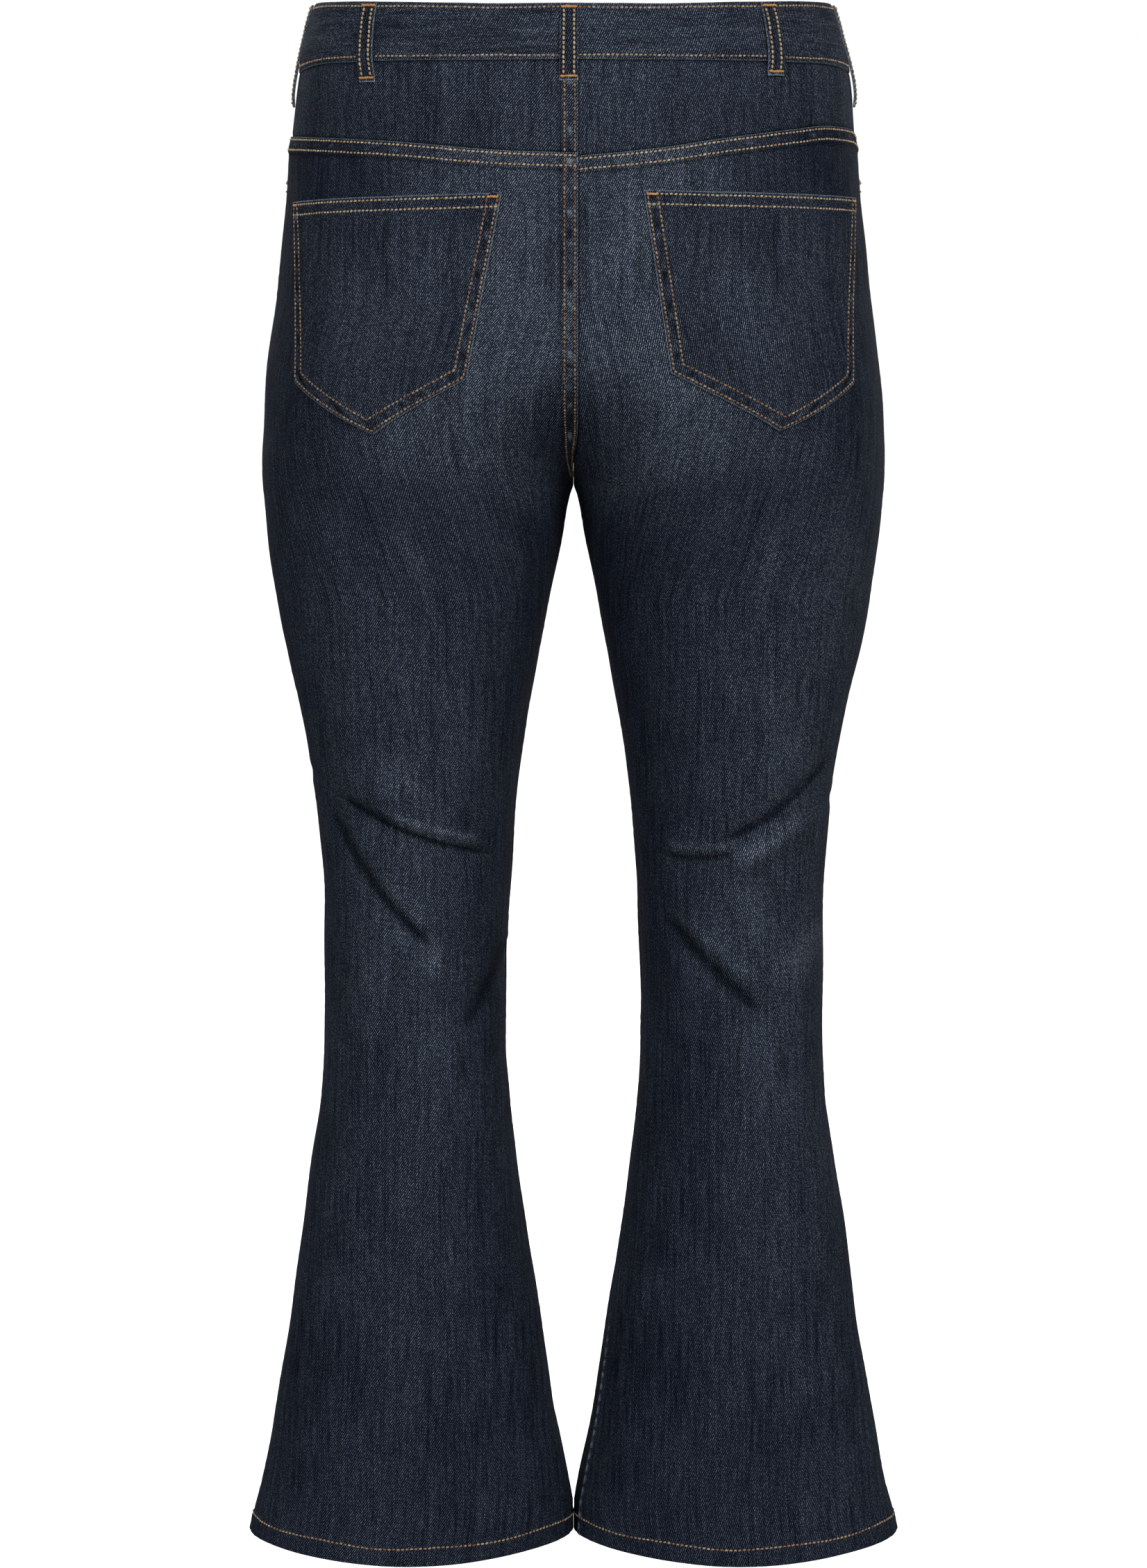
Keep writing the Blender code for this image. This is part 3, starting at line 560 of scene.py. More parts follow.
def shell(name, outer, inner, uv, marks):
    """A closed thin shell between a fine outer grid and an inner one that keeps every other row."""
    rows, columns = outer.shape[:2]
    step = 2
    kept = inner[::step, ::step]
    small_rows, small_columns = kept.shape[:2]
    first = rows * columns

    def fine(r, c):
        return r * columns + c

    def coarse(r, c):
        return first + (r // step) * small_columns + c // step

    def on_both(grid):
        inside = grid[::step, ::step]
        return np.concatenate([grid.reshape(first, -1), inside.reshape(small_rows * small_columns, -1)])

    r, c = np.indices((rows - 1, columns - 1))
    front = np.stack([fine(r, c), fine(r, c + 1), fine(r + 1, c + 1), fine(r + 1, c)], -1)
    r, c = step * np.indices((small_rows - 1, small_columns - 1))
    corners = ((0, 0), (step, 0), (step, step), (0, step))
    rear = np.stack([coarse(r + down, c + over) for down, over in corners], -1)
    faces = front.reshape(-1, 4).tolist() + rear.reshape(-1, 4).tolist()
    rim = [(0, k) for k in range(columns - 1)] + [(k, columns - 1) for k in range(rows - 1)]
    rim += [(rows - 1, k) for k in range(columns - 1, 0, -1)] + [(k, 0) for k in range(rows - 1, 0, -1)]
    rim.append(rim[0])
    for k in range(0, len(rim) - 1, step):
        outside = [fine(*rim[k + n]) for n in range(step, -1, -1)]
        faces.append(outside + [coarse(*rim[k]), coarse(*rim[k + step])])
    data = bpy.data.meshes.new(name)
    data.from_pydata(np.concatenate([outer.reshape(-1, 3), kept.reshape(-1, 3)]), [], faces)
    mesh = bmesh.new()
    mesh.from_mesh(data)
    bmesh.ops.recalc_face_normals(mesh, faces=mesh.faces)
    mesh.to_mesh(data)
    mesh.free()
    corner = np.empty(len(data.loops), int)
    data.loops.foreach_get("vertex_index", corner)
    layer = data.uv_layers.new(name="cloth")
    layer.data.foreach_set("uv", on_both(uv)[corner].astype(np.float32).ravel())
    for mark, value in marks.items():
        set_values(data, mark, on_both(np.broadcast_to(value, (rows, columns))))
    set_values(data, "inside", np.arange(len(data.vertices)) >= first)
    data.shade_smooth()
    data.set_sharp_from_angle(angle=np.radians(60))
    return placed(name, data)


# ---- How far each piece of cloth stands off the surface, with its seams


def double_cloth(distance, fade=1.0):
    """The lift of a felled seam's double cloth, from its folded edge inwards."""
    edge = 1 - 0.5 * falling(distance, 0.45)
    rows = 0.16 * bump(distance, ROWS[0], 0.9 * MM) + 0.16 * bump(distance, ROWS[1], 0.9 * MM)
    return fade * LAP_LIFT * (edge - rows) * until(distance, RIDGE, 1.7 * MM)


def plain_seam(distance):
    """Two edges turned in, with a low ridge over each seam allowance."""
    return MM * (0.32 * bump(distance, 2.6 * MM, 1.5 * MM) - 0.75 * bump(distance, 0, 0.9 * MM))


def puckers(along, distance, reach, size):
    """Small gathers that a line of stitches draws up beside it. Reach and size are in mm."""
    wave = np.sin(along / (1.55 * MM)) + 0.6 * np.sin(along / (0.93 * MM) + 1.9)
    wave = wave * (0.6 + 0.4 * np.sin(along / (11 * MM)))
    return size * MM * wave * falling(distance, reach)


def hem_lift(face, share, height):
    above = height - hem_height(face, share)
    along = share * whole_length(face, height)
    roping = np.sin((along + 0.9 * above) / (1.5 * MM)) + 0.5 * np.sin((along + 0.7 * above) / (2.6 * MM))
    waver = 0.5 + 0.5 * np.sin(along / (21 * MM) + 0.8)
    rolled = -0.5 * falling(above, 0.5) - 0.2 * bump(above, HEM_ROW, 0.9 * MM)
    lift = HEM_EXTRA + MM * (0.16 * roping * waver + rolled)
    return until(above, HEM_FOLD, 0.9 * MM) * lift


def seam_lift(face, share, height):
    """The seams that both leg panels share: the sides, the inner legs and the hem."""
    along = share * whole_length(face, height)
    inner = np.abs(1 - share) * whole_length(face, height)
    below = until(height, CROTCH - 4 * MM, 12 * MM)
    lift = plain_seam(along) + below * plain_seam(inner) + hem_lift(face, share, height)
    return lift + puckers(height, along, 4.0, 0.14) + below * puckers(height + 0.3, inner, 4.0, 0.14)


def above_crotch(height):
    """How much of the felled centre seam there is: all of it but near the crotch."""
    return past(height, CROTCH + 4 * MM, 30 * MM)


def centre_lift(side, face, share, height):
    """The felled centre seam: double cloth on the left half, which the right half runs under."""
    fade = above_crotch(height)
    if side == LEFT:
        distance = inner_distance(side, face, share, height)
        gathers = puckers(height, np.abs(distance - 5 * MM) - 4 * MM, 4.0, 0.16)
        return double_cloth(distance, fade) + fade * gathers
    under = (1 - share) * whole_length(face, height)
    gathers = puckers(height, under - LAP, 4.0, 0.16)
    return fade * (gathers - 0.3 * MM * until(under, 3.2 * MM, 1.5 * MM))


def band_pull(face, share, height):
    """The cloth drawn in under the waistband, and gathered a little."""
    under_band = band_bottom(face, share) - height
    gathers = puckers(share * whole_length(face, height), under_band, 5.0, 0.2)
    return gathers - 0.35 * MM * falling(under_band, 1.6)


def back_lift(side, share, height):
    below_yoke = yoke_seam(side, share) - height
    lift = seam_lift(BACK, share, height) + centre_lift(side, BACK, share, height)
    gathers = puckers(share * whole_length(BACK, height), np.abs(below_yoke - 5 * MM) - 5 * MM, 5.0, 0.18)
    return lift + double_cloth(below_yoke) + gathers


def yoke_lift(side, share, height):
    along = share * whole_length(BACK, height)
    above = height - yoke_seam(side, share)
    lift = plain_seam(along) + centre_lift(side, BACK, share, height) + band_pull(BACK, share, height)
    return lift - 0.45 * MM * until(above, 0.5 * MM, 2.5 * MM) + puckers(along + 0.4, above, 5.0, 0.18)


def mouth_line(count):
    """The pocket's mouth: how far in from the side seam along the cloth, and how high."""
    turn = np.linspace(0, np.pi / 2, count)
    share = SCOOP_WIDTH / whole_length(FRONT, -BAND_HEIGHT) * np.sin(turn)
    height = band_bottom(FRONT, share) - SEAM_GAP - SCOOP_DEPTH * np.cos(turn)
    return np.stack([share * whole_length(FRONT, height), height], axis=-1)


def mouth_distance(share, height):
    """How far a place on the front is from the pocket's mouth, and how far along the mouth."""
    edge = mouth_line(61)
    place = np.stack(np.broadcast_arrays(share * whole_length(FRONT, height), height), axis=-1)
    away, along = np.full(place.shape[:-1], 1.0), np.zeros(place.shape[:-1])
    near = (place[..., 0] < edge[-1, 0] + MOUTH_REACH) & (place[..., 1] > edge[0, 1] - MOUTH_REACH)
    away[near], pieces = nearest(edge, place[near])
    along[near] = np.interp(pieces, np.arange(len(edge)), run_along(edge))
    return away, along


def front_lift(side, share, height):
    from_mouth, along = mouth_distance(share, height)
    lift = seam_lift(FRONT, share, height) + centre_lift(side, FRONT, share, height)
    lift = lift + 0.8 * double_cloth(from_mouth) + puckers(along, from_mouth, 6.0, 0.2)
    return lift + band_pull(FRONT, share, height)


def band_lift(along, drop):
    """The waistband's face: full in the middle, drawn in along its two rows of stitches."""
    from_edge = np.minimum(drop, BAND_HEIGHT - drop)
    edge = -0.75 * MM * falling(from_edge, 0.55)
    rows = -0.2 * MM * bump(from_edge, 2.6 * MM, 1.0 * MM)
    full = 0.35 * MM * smooth(from_edge / (12 * MM))
    return edge + rows + full + puckers(along, np.abs(from_edge - 2.6 * MM), 3.5, 0.2)


# ---- How worn and how faded the cloth is, from 0 to 1; below 0, painted shade


def edge_wear_and_shade(distance, run, strength=1.0, ropy=0.3):
    """Pale folded edge, and uneven pale patches along the ridge between the rows of stitches, with painted
    shade along each row and just beyond the double cloth.
    """
    distance = np.clip(distance, 0, None)
    ridge = sum(ROWS) / 2
    rope = 0.5 * np.sin(run / (2.9 * MM)) + 0.4 * np.sin(run / (1.7 * MM) + 1)
    rope = (rope + 0.4 * np.sin(run / (4.7 * MM))) * bump(distance, ridge, 2.6 * MM)
    pale = 0.95 * falling(distance, 0.75) + 0.22 * bump(distance, ridge, 2.2 * MM)
    # painted shade just beyond the double cloth and along each row of stitches
    painted_shade = 0.35 * bump(distance, RIDGE + 1.6 * MM, 1.2 * MM)
    for place in ROWS:
        painted_shade = painted_shade + 0.3 * bump(distance, place, 0.8 * MM)
    return strength * (pale - painted_shade + ropy * rope)


def centre_wear_and_shade(side, distance, height):
    """On the left half the worn edge at the centre seam; on the right half a painted shadow beside it,
    where the left half laps over.
    """
    if side == LEFT:
        return edge_wear_and_shade(distance, height, 0.9, 0.75)
    # the right half: painted shadow beside the lap
    return -0.6 * until(distance, LAP, 1.8 * MM)


def seam_wear(distance, strength):
    """The worn ridge of a plain seam's allowance."""
    return strength * bump(distance, 1.9 * MM, 1.0 * MM)


def leg_fade(side, face, share, height):
    """Broad fading: down the middle of each leg, on the seat and on the front of the thighs."""
    whole = whole_length(face, height)
    middle = 46 * MM + 50 * MM * past(-height, 0.22, 0.08)
    seat = bump((1 - share) * whole, middle, 66 * MM) * past(height, -0.36, 0.08)
    leg = bump(share, 0.47 if side == LEFT else 0.36, 0.27) * past(-height, 0.24, 0.16)
    low = 1 - 0.55 * past(-height, 0.62, 0.36)
    edge = 1 - 0.5 * falling(share * whole, 30)
    return np.clip((0.42 * leg * low + 0.85 * seat) * edge + 0.06, 0, 1)


# ---- The pieces of cloth


def finish_cloth(piece, node):
    piece.data.materials.append(DENIM)
    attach(piece, "root")
    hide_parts(node)


def odd(values):
    """An odd number of grid lines, so that every other one can be kept from the first to the last."""
    middle = len(values) // 2
    if len(values) % 2 == 0:
        return np.insert(values, middle, (values[middle - 1] + values[middle]) / 2)
    return values


def weave(uv, angle):
    """How many of the twill's diagonal lines across a place is, and how far along its own, in mm."""
    angle = np.radians(angle)
    u, v = uv[..., 0], uv[..., 1]
    across, along = v * np.cos(angle) - u * np.sin(angle), u * np.cos(angle) + v * np.sin(angle)
    return {"twill": across / TWILL_PITCH, "along": along / MM}


def cloth_uv(side, face, share, height):
    """The cloth's own coordinates: across from the centre seam on the hips, from the side seam on the
    thighs, and from the leg's middle below."""
    whole = whole_length(face, height)
    middle = whole_length(face, np.minimum(height, LOWER)) / 2
    middle = middle + whole_length(face, np.maximum(height, UPPER)) - whole_length(face, UPPER)
    return np.stack([side * (share * whole - middle), height + 0 * share], axis=-1)


def columns(side, face, height, middle, at_side=True):
    """Shares of a row's columns. Those near a seam keep their distance from it."""
    whole = whole_length(face, height)
    lap = lap_at(side, face, height)
    count, deep = len(SEAM_STEPS), SEAM_STEPS[-1]
    low = (deep if at_side else 0) / whole
    share = low + middle * (1 + (lap - deep) / whole - low)
    if at_side:
        share[..., :count] = SEAM_STEPS / whole[..., :count]
    share[..., -count:] = 1 + (lap[..., -count:] - SEAM_STEPS[::-1]) / whole[..., -count:]
    return share


def even_places(count):
    """So many even places between 0 and 1, and an odd number of them."""
    return np.linspace(0, 1, (int(count) | 1) + 2)[1:-1]


def even_columns(length):
    """Even columns between the ones near the seams."""
    ends = [0] * len(SEAM_STEPS)
    return np.concatenate([ends, even_places((length - 2 * SEAM_STEPS[-1]) / FINE), ends])


def front_columns(length):
    """Columns that crowd towards the end of the pocket's mouth, where its edge is steep, and even ones."""
    mouth = SCOOP_WIDTH / whole_length(FRONT, -BAND_HEIGHT)
    first = SEAM_STEPS[:3] / length
    beyond = mouth + (1 - mouth) * even_places((1 - mouth) * (length - SEAM_STEPS[-1]) / FINE)
    rest = np.concatenate([beyond, [0] * len(SEAM_STEPS)])
    turn = np.linspace(0, np.pi / 2, 38)[1:]
    even = np.linspace(0, mouth, 40)[3:]
    return np.concatenate([first, mouth * np.sin(turn), rest]), np.concatenate([first, even, rest])


def leg_rows(face):
    """Where a leg panel's rows are, from 0 at its top edge to 1 at its hem, and how far on from there."""
    level = np.linspace(PANEL_TOP, HEM_SIDE, 2001)
    behind_knee = past(-level, 0.49, 0.03) * until(-level, 0.70, 0.03) * (face == BACK)
    crowd = 1 + KNEE_CROWD * behind_knee
    crowd = np.concatenate([[0], np.cumsum((crowd[1:] + crowd[:-1]) / 2)]) / (len(level) - 1)
    length = (PANEL_TOP - HEM_SIDE - TOP_STEPS[-1] - HEM_STEPS[-1]) * crowd[-1]
    down = np.interp(crowd[-1] * even_places(length / FINE), crowd, np.linspace(0, 1, len(level)))
    part = np.concatenate([0 * TOP_STEPS, down, 1 + 0 * HEM_STEPS])[:, None]
    between = (1 - down) * -TOP_STEPS[-1] + down * HEM_STEPS[-1]
    return part, np.concatenate([-TOP_STEPS, between, HEM_STEPS[::-1]])[:, None]


def leg_grid(side, face):
    """Shares and heights of a leg panel's fine grid, from its top edge down to its hem."""
    widest = UNROLLED[face][0].max()
    part, offset = leg_rows(face)
    crowded, even = front_columns(widest) if face == FRONT else (even_columns(widest),) * 2
    middle = crowded + (even - crowded) * smooth(6 * part)
    share = np.clip(middle, 0, 1)
    for _ in range(3):
        if face == BACK:
            top = yoke_seam(side, share) - SEAM_GAP / 2
        else:
            top = band_bottom(FRONT, share) - SEAM_GAP - scoop_cut(share)
        height = top + part * (hem_height(face, share) - top) + offset
        share = columns(side, face, height, middle, face == BACK)
    return share, height


def turned_seam(side, face, share, height):
    """The right leg's inner seam, turned into view above the hem: its ridge and the shade beyond it."""
    if (side, face) != (RIGHT, BACK):
        return 0 * height, 0 * height
    turned = past(-height, TURN_START, TURN_REACH)
    away = (1 - share) * whole_length(face, height) - TURN_WIDTH * np.sqrt(turned)
    return turned * bump(away, 0, 2.5 * MM), turned * past(-away, 1.5 * MM, 2.5 * MM)


def leg_wear_and_shade(side, face, share, height):
    """How worn a leg panel is along its hem, its seams and its top edge, with painted shade beside its
    felled seams and beyond the turned inner seam.
    """
    along, inner = share * whole_length(face, height), (1 - share) * whole_length(face, height)
    above = height - hem_height(face, share)
    in_leg = past(-height, -CROTCH, 20 * MM) * (0.45 + 0.4 * (height < HEM_RUB))
    wear = 0.55 * falling(above, 1.0) + 0.3 * bump(above, HEM_FOLD, 0.9 * MM)
    wear = wear + in_leg * bump(inner, 1.9 * MM, 0.9 * MM)
    ridge, beyond = turned_seam(side, face, share, height)
    dotted = 0.8 + 0.5 * np.sin(height / (1.3 * MM))
    # beyond the turned inner seam, painted shade takes the place of wear
    wear = wear * (1 - beyond) + ridge * dotted - 0.4 * beyond + seam_wear(along, 0.22)
    distance = inner_distance(side, face, share, height)
    wear = wear + above_crotch(height) * centre_wear_and_shade(side, distance, height)
    if face == BACK:
        return wear + edge_wear_and_shade(yoke_seam(side, share) - height, along)
    return wear + edge_wear_and_shade(mouth_distance(share, height)[0], height + along, 0.7)


def leg_panel(side, face):
    share, height = leg_grid(side, face)
    lift = (back_lift if face == BACK else front_lift)(side, share, height)
    lift = lift + 0.5 * MM * turned_seam(side, face, share, height)[0]
    outer, _ = on_cloth(side, face, share, height, lift)
    sharp = [crease for crease in CREASES[side, face] if crease[-2] < SHARP]  # by width
    crease = relief(outer, sharp)
    turned_up = HEM_EXTRA * until(height - hem_height(face, share), HEM_FOLD, 0.9 * MM)
    at_lap = (share > 1 - 0.4 * MM / whole_length(face, height)) & (lap_at(side, face, height) > 0.6 * MM)
    thin = np.minimum(0.1 * MM, lift - 0.5 * MM)
    inner_lift = np.where(at_lap, thin, -CLOTH - turned_up - np.abs(crease))
    inner, _ = on_cloth(side, face, share, height, inner_lift)
    painted_crease_shade = np.clip(crease / (5 * MM), -0.5, 0.1)  # painted shade in the sharp creases' troughs; their ridges a touch paler
    wear = leg_wear_and_shade(side, face, share, height) + painted_crease_shade
    fade = leg_fade(side, face, share, height) + relief(outer, RUBS[side, face]) / MM
    uv = cloth_uv(side, face, share, height)
    name = FACE_NAME[face] + "_panel_" + SIDE_NAME[side]
    marks = {"wear": wear, "fade": fade, **weave(uv, face * TWILL_ANGLE[side])}
    piece = shell(name + "_cloth", outer, inner, uv, marks)
    finish_cloth(piece, name)


def yoke(side):
    middle = even_columns(whole_length(BACK, -BAND_HEIGHT))
    rows = np.concatenate([[0, 0.01, 0.03, 0.06], np.linspace(0.1, 0.9, 17), [0.94, 0.97, 0.99, 1]])
    rows = rows[:, None]
    share = middle + 0 * rows
    for _ in range(3):
        top = band_bottom(BACK, share) - SEAM_GAP
        height = top + rows * (yoke_seam(side, share) + SEAM_GAP / 2 - top)
        share = columns(side, BACK, height, middle)
    whole = whole_length(BACK, height)
    outer, _ = on_cloth(side, BACK, share, height, yoke_lift(side, share, height))
    at_lap = (share > 1 - 0.4 * MM / whole) & (side == LEFT)
    inner, _ = on_cloth(side, BACK, share, height, np.where(at_lap, 0.1 * MM, -CLOTH))
    distance = inner_distance(side, BACK, share, height)
    wear = centre_wear_and_shade(side, distance, height) + seam_wear(share * whole, 0.2)
    # painted shadow along the yoke seam and under the waistband's lower edge
    for seam in (yoke_seam(side, share), band_bottom(BACK, share)):
        wear = wear - 0.5 * bump(height, seam, 1.6 * MM)
    fade = 0.3 + 0.18 * bump(distance, 30 * MM, 60 * MM)
    uv = cloth_uv(side, BACK, share, height)
    marks = {"wear": wear, "fade": fade, **weave(uv, 52 if side == LEFT else 66)}
    piece = shell("yoke_" + SIDE_NAME[side] + "_cloth", outer, inner, uv, marks)
    finish_cloth(piece, "yoke_" + SIDE_NAME[side])


def on_waist(place, drop, lift):
    """Points on the waist at places counted in quarters: 0 centre front, 1 left side, 2 centre back."""
    place, drop, lift = np.broadcast_arrays(place, drop, lift)
    points, out = np.empty(place.shape + (3,)), np.empty(place.shape + (3,))
    quarter = np.floor(place).astype(int) % 4
    part = place - np.floor(place)
    for number, (side, face) in enumerate([(LEFT, FRONT), (LEFT, BACK), (RIGHT, BACK), (RIGHT, FRONT)]):
        here = quarter == number
        if not here.any():
            continue
        share = part[here] if number in (1, 3) else 1 - part[here]
        height = waist_height(face, share, drop[here])
        points[here], out[here] = on_cloth(side, face, share, height, lift[here], gap=False)
    return points, out


QUARTER = float(whole_length(FRONT, -BAND_HEIGHT / 2))
BAND_START, BAND_END = -BAND_OVER / QUARTER, 4 + BAND_UNDER / QUARTER


def band_raised(place):
    climbed = (BAND_UNDER + BAND_OVER) / QUARTER
    return BAND_STEP * (1 - smooth((place - climbed) / (BAND_CLIMB / QUARTER)))


def waistband():
    steps = np.array([0, 0.4, 1.1, 2.2, 3.6, 5.5]) * MM / QUARTER
    count = int((BAND_END - BAND_START) * QUARTER / FINE)
    place = np.linspace(BAND_START + steps[-1], BAND_END - steps[-1], count)[1:-1]
    place = odd(np.concatenate([BAND_START + steps, place, BAND_END - steps[::-1]]))
    drops = np.array([0, 0.35, 0.9, 1.8, 2.6, 3.6, 5, 7, 9.5, 12.5, 15.6, 18.75]) * MM
    drops = np.concatenate([drops, (BAND_HEIGHT - drops[:-1])[::-1]])[:, None]
    lift = band_raised(place) + BAND_OUTER + band_lift(place * QUARTER, drops)
    outer, _ = on_waist(place, drops, lift)
    from_edge = np.minimum(drops, BAND_HEIGHT - drops)
    inner, _ = on_waist(place, drops, band_raised(place) + BAND_INNER + 0.4 * MM * falling(from_edge, 0.5))
    from_end = np.minimum(place - BAND_START, BAND_END - place) * QUARTER
    wear = 0.85 * falling(from_edge, 0.7) + 0.1 * bump(from_edge, 4.4 * MM, 1.0 * MM)
    wear = wear + 0.7 * falling(from_end, 0.8)
    fade = 0.32 + 0.25 * bump(place, 2, 0.45) + 0.1 * bump(place, 0.2, 0.3)
    uv = np.stack(np.broadcast_arrays(-drops, place * QUARTER), axis=-1)
    marks = {"wear": wear, "fade": fade, **weave(uv, 28)}
    piece = shell("waistband_cloth", outer, inner, uv, marks)
    finish_cloth(piece, "waistband")


def facing(side):
    width = (SCOOP_WIDTH + 16 * MM) / float(whole_length(FRONT, -0.07))
    share = np.linspace(0, width, 31)
    drops = np.linspace(0, SCOOP_DEPTH + FACING_LAP, 25)[:, None]
    height = band_bottom(FRONT, share) - SEAM_GAP - drops
    along = share * whole_length(FRONT, height)
    meets_band = (FACING_DEPTH + BAND_INNER + 0.5 * MM) * smooth(scoop_cut(share) / (4 * MM))
    lift = 0.5 * plain_seam(along) - FACING_DEPTH + meets_band * falling(drops, 1.5)
    outer, _ = on_cloth(side, FRONT, share, height, lift)
    inner, _ = on_cloth(side, FRONT, share, height, -FACING_DEPTH - FACING_CLOTH)
    uv = np.stack([side * along, height], axis=-1)
    marks = {"wear": seam_wear(along, 0.12), "fade": 0.05, **weave(uv, -60)}
    name = "pocket_facing_" + SIDE_NAME[side]
    piece = shell(name + "_cloth", outer, inner, uv, marks)
    finish_cloth(piece, name)


def pocket_spots(side, across, down):
    """Places on a back pocket's face, as distances from the centre seam along the cloth, and heights."""
    inner_top, outer_top, outer_bottom, tip, inner_bottom = POCKET[side]
    top = inner_top + across[..., None] * (outer_top - inner_top)
    inner_half = np.clip(2 * across, 0, 1)[..., None]
    outer_half = np.clip(2 * across - 1, 0, 1)[..., None]
    bottom = inner_bottom + inner_half * (tip - inner_bottom) + outer_half * (outer_bottom - tip)
    spots = top + down[..., None] * (bottom - top)
    return spots[..., 0], spots[..., 1]


def pocket_edges(side):
    """The pocket's corners, the edges' directions from each to the next, and the directions inwards."""
    along = np.roll(POCKET[side], -1, axis=0) - POCKET[side]
    along = along / np.linalg.norm(along, axis=-1, keepdims=True)
    return POCKET[side], along, np.stack([along[:, 1], -along[:, 0]], axis=-1)


def pocket_inset(side, from_top, from_edge):
    """The pocket's corners drawn in by one distance from its top edge and another from its others."""
    corners, along, inward = pocket_edges(side)
    lines = corners + inward * np.array([from_top] + [from_edge] * 4)[:, None]
    moved = []
    for index in range(len(corners)):
        p, u, q, v = lines[index - 1], along[index - 1], lines[index], along[index]
        moved.append(p + u * np.linalg.solve(np.stack([u, -v], axis=1), q - p)[0])
    return np.array(moved)


def outline_distance(side, across, height):
    """How far inside the pocket's outline a place is, from its top edge and from its other edges."""
    place = np.stack([across, height], axis=-1)
    corners, _, inward = pocket_edges(side)
    away = [np.abs((place - corner) @ direction) for corner, direction in zip(corners, inward)]
    return away[0], np.min(away[1:], axis=0)


def pocket_lift(side, across, height):
    from_top, from_edge = outline_distance(side, across, height)
    nearer = np.minimum(from_top, from_edge)
    thick = 0.35 * MM * until(from_edge, 10 * MM, 1.6 * MM)
    thick = np.maximum(thick, 0.5 * MM * until(from_top, 10.5 * MM, 1.6 * MM))
    rows = bump(nearer, POCKET_ROWS[0], 0.9 * MM) + bump(nearer, 8.6 * MM, 0.9 * MM)
    gathers = puckers(across + height, np.abs(nearer - POCKET_RIDGE) - 3 * MM, 5.0, 0.16)
    rolled = -0.3 * MM - 0.6 * MM * falling(nearer, 0.5)
    return POCKET_LIFT + POCKET_CLOTH + thick + rolled - 0.16 * MM * rows + gathers


def back_pocket(side):
    across = [0, 0.002, 0.006, 0.012, 0.02, 0.029, 0.038, 0.047, 0.055, 0.065]
    across = np.concatenate([across, np.linspace(0.08, 0.42, 24), [0.44, 0.46, 0.48, 0.492]])
    across = np.concatenate([across, [0.5], (1 - across)[::-1]])
    down = np.array([0, 0.003, 0.008, 0.015, 0.025, 0.036, 0.048, 0.06, 0.07, 0.082])
    down = odd(np.concatenate([down, np.linspace(0.1, 0.9, 37), (1 - down)[::-1]]))
    a, d = np.meshgrid(across, down)
    along, height = pocket_spots(side, a, d)
    share = 1 - along / whole_length(BACK, height)
    outer, _ = on_cloth(side, BACK, share, height, pocket_lift(side, along, height))
    inner, _ = on_cloth(side, BACK, share, height, POCKET_LIFT - 0.35 * MM)
    from_top, from_edge = outline_distance(side, along, height)
    run = height - a * 150 * MM
    ropes = 0.4 * np.sin(run / (2.9 * MM)) + 0.3 * np.sin(run / (1.7 * MM) + 1)
    wear = 1.1 * falling(np.minimum(from_top, from_edge), 0.9)
    wear = wear + ropes * bump(from_edge, POCKET_RIDGE, 2.4 * MM)
    wear = wear + 0.22 * bump(from_top, 10.6 * MM, 1.0 * MM) + 0.16 * bump(from_edge, 9.8 * MM, 1.2 * MM)
    fade = 0.24 + 0.25 * bump(a, 0.35, 0.35) * bump(d, 0.55, 0.5)
    uv = cloth_uv(side, BACK, share, height) + (0, 13 * MM)
    marks = {"wear": wear, "fade": fade, **weave(uv, 62 if side == LEFT else 66)}
    name, under = "back_pocket_" + SIDE_NAME[side], "back_panel_" + SIDE_NAME[side] + "_cloth"
    piece = shell(name + "_cloth", outer, inner, uv, marks)
    finish_cloth(piece, name)


def loop_place(loop, drop, across):
    """Where a spot on a belt loop is, in quarters round the waist."""
    reach = float(whole_length(loop.face, -BAND_HEIGHT / 2))
    part = (loop.centre * MM) / reach
    middle = 2 - loop.side * part if loop.face == BACK else loop.side * part
    toward_seam = loop.side if loop.face == BACK else -loop.side
    lean = toward_seam * loop.lean * MM / reach * (drop / (loop.foot * MM) - 0.5)
    return middle + across / reach + lean


def loop_height(loop, drop):
    lifts = SIDE_LOOP_LIFT if loop.name.startswith("side") else LOOP_LIFT
    return smooth_curve(LOOP_DROP * loop.foot * MM / LOOP_DROP[-1], lifts, drop)


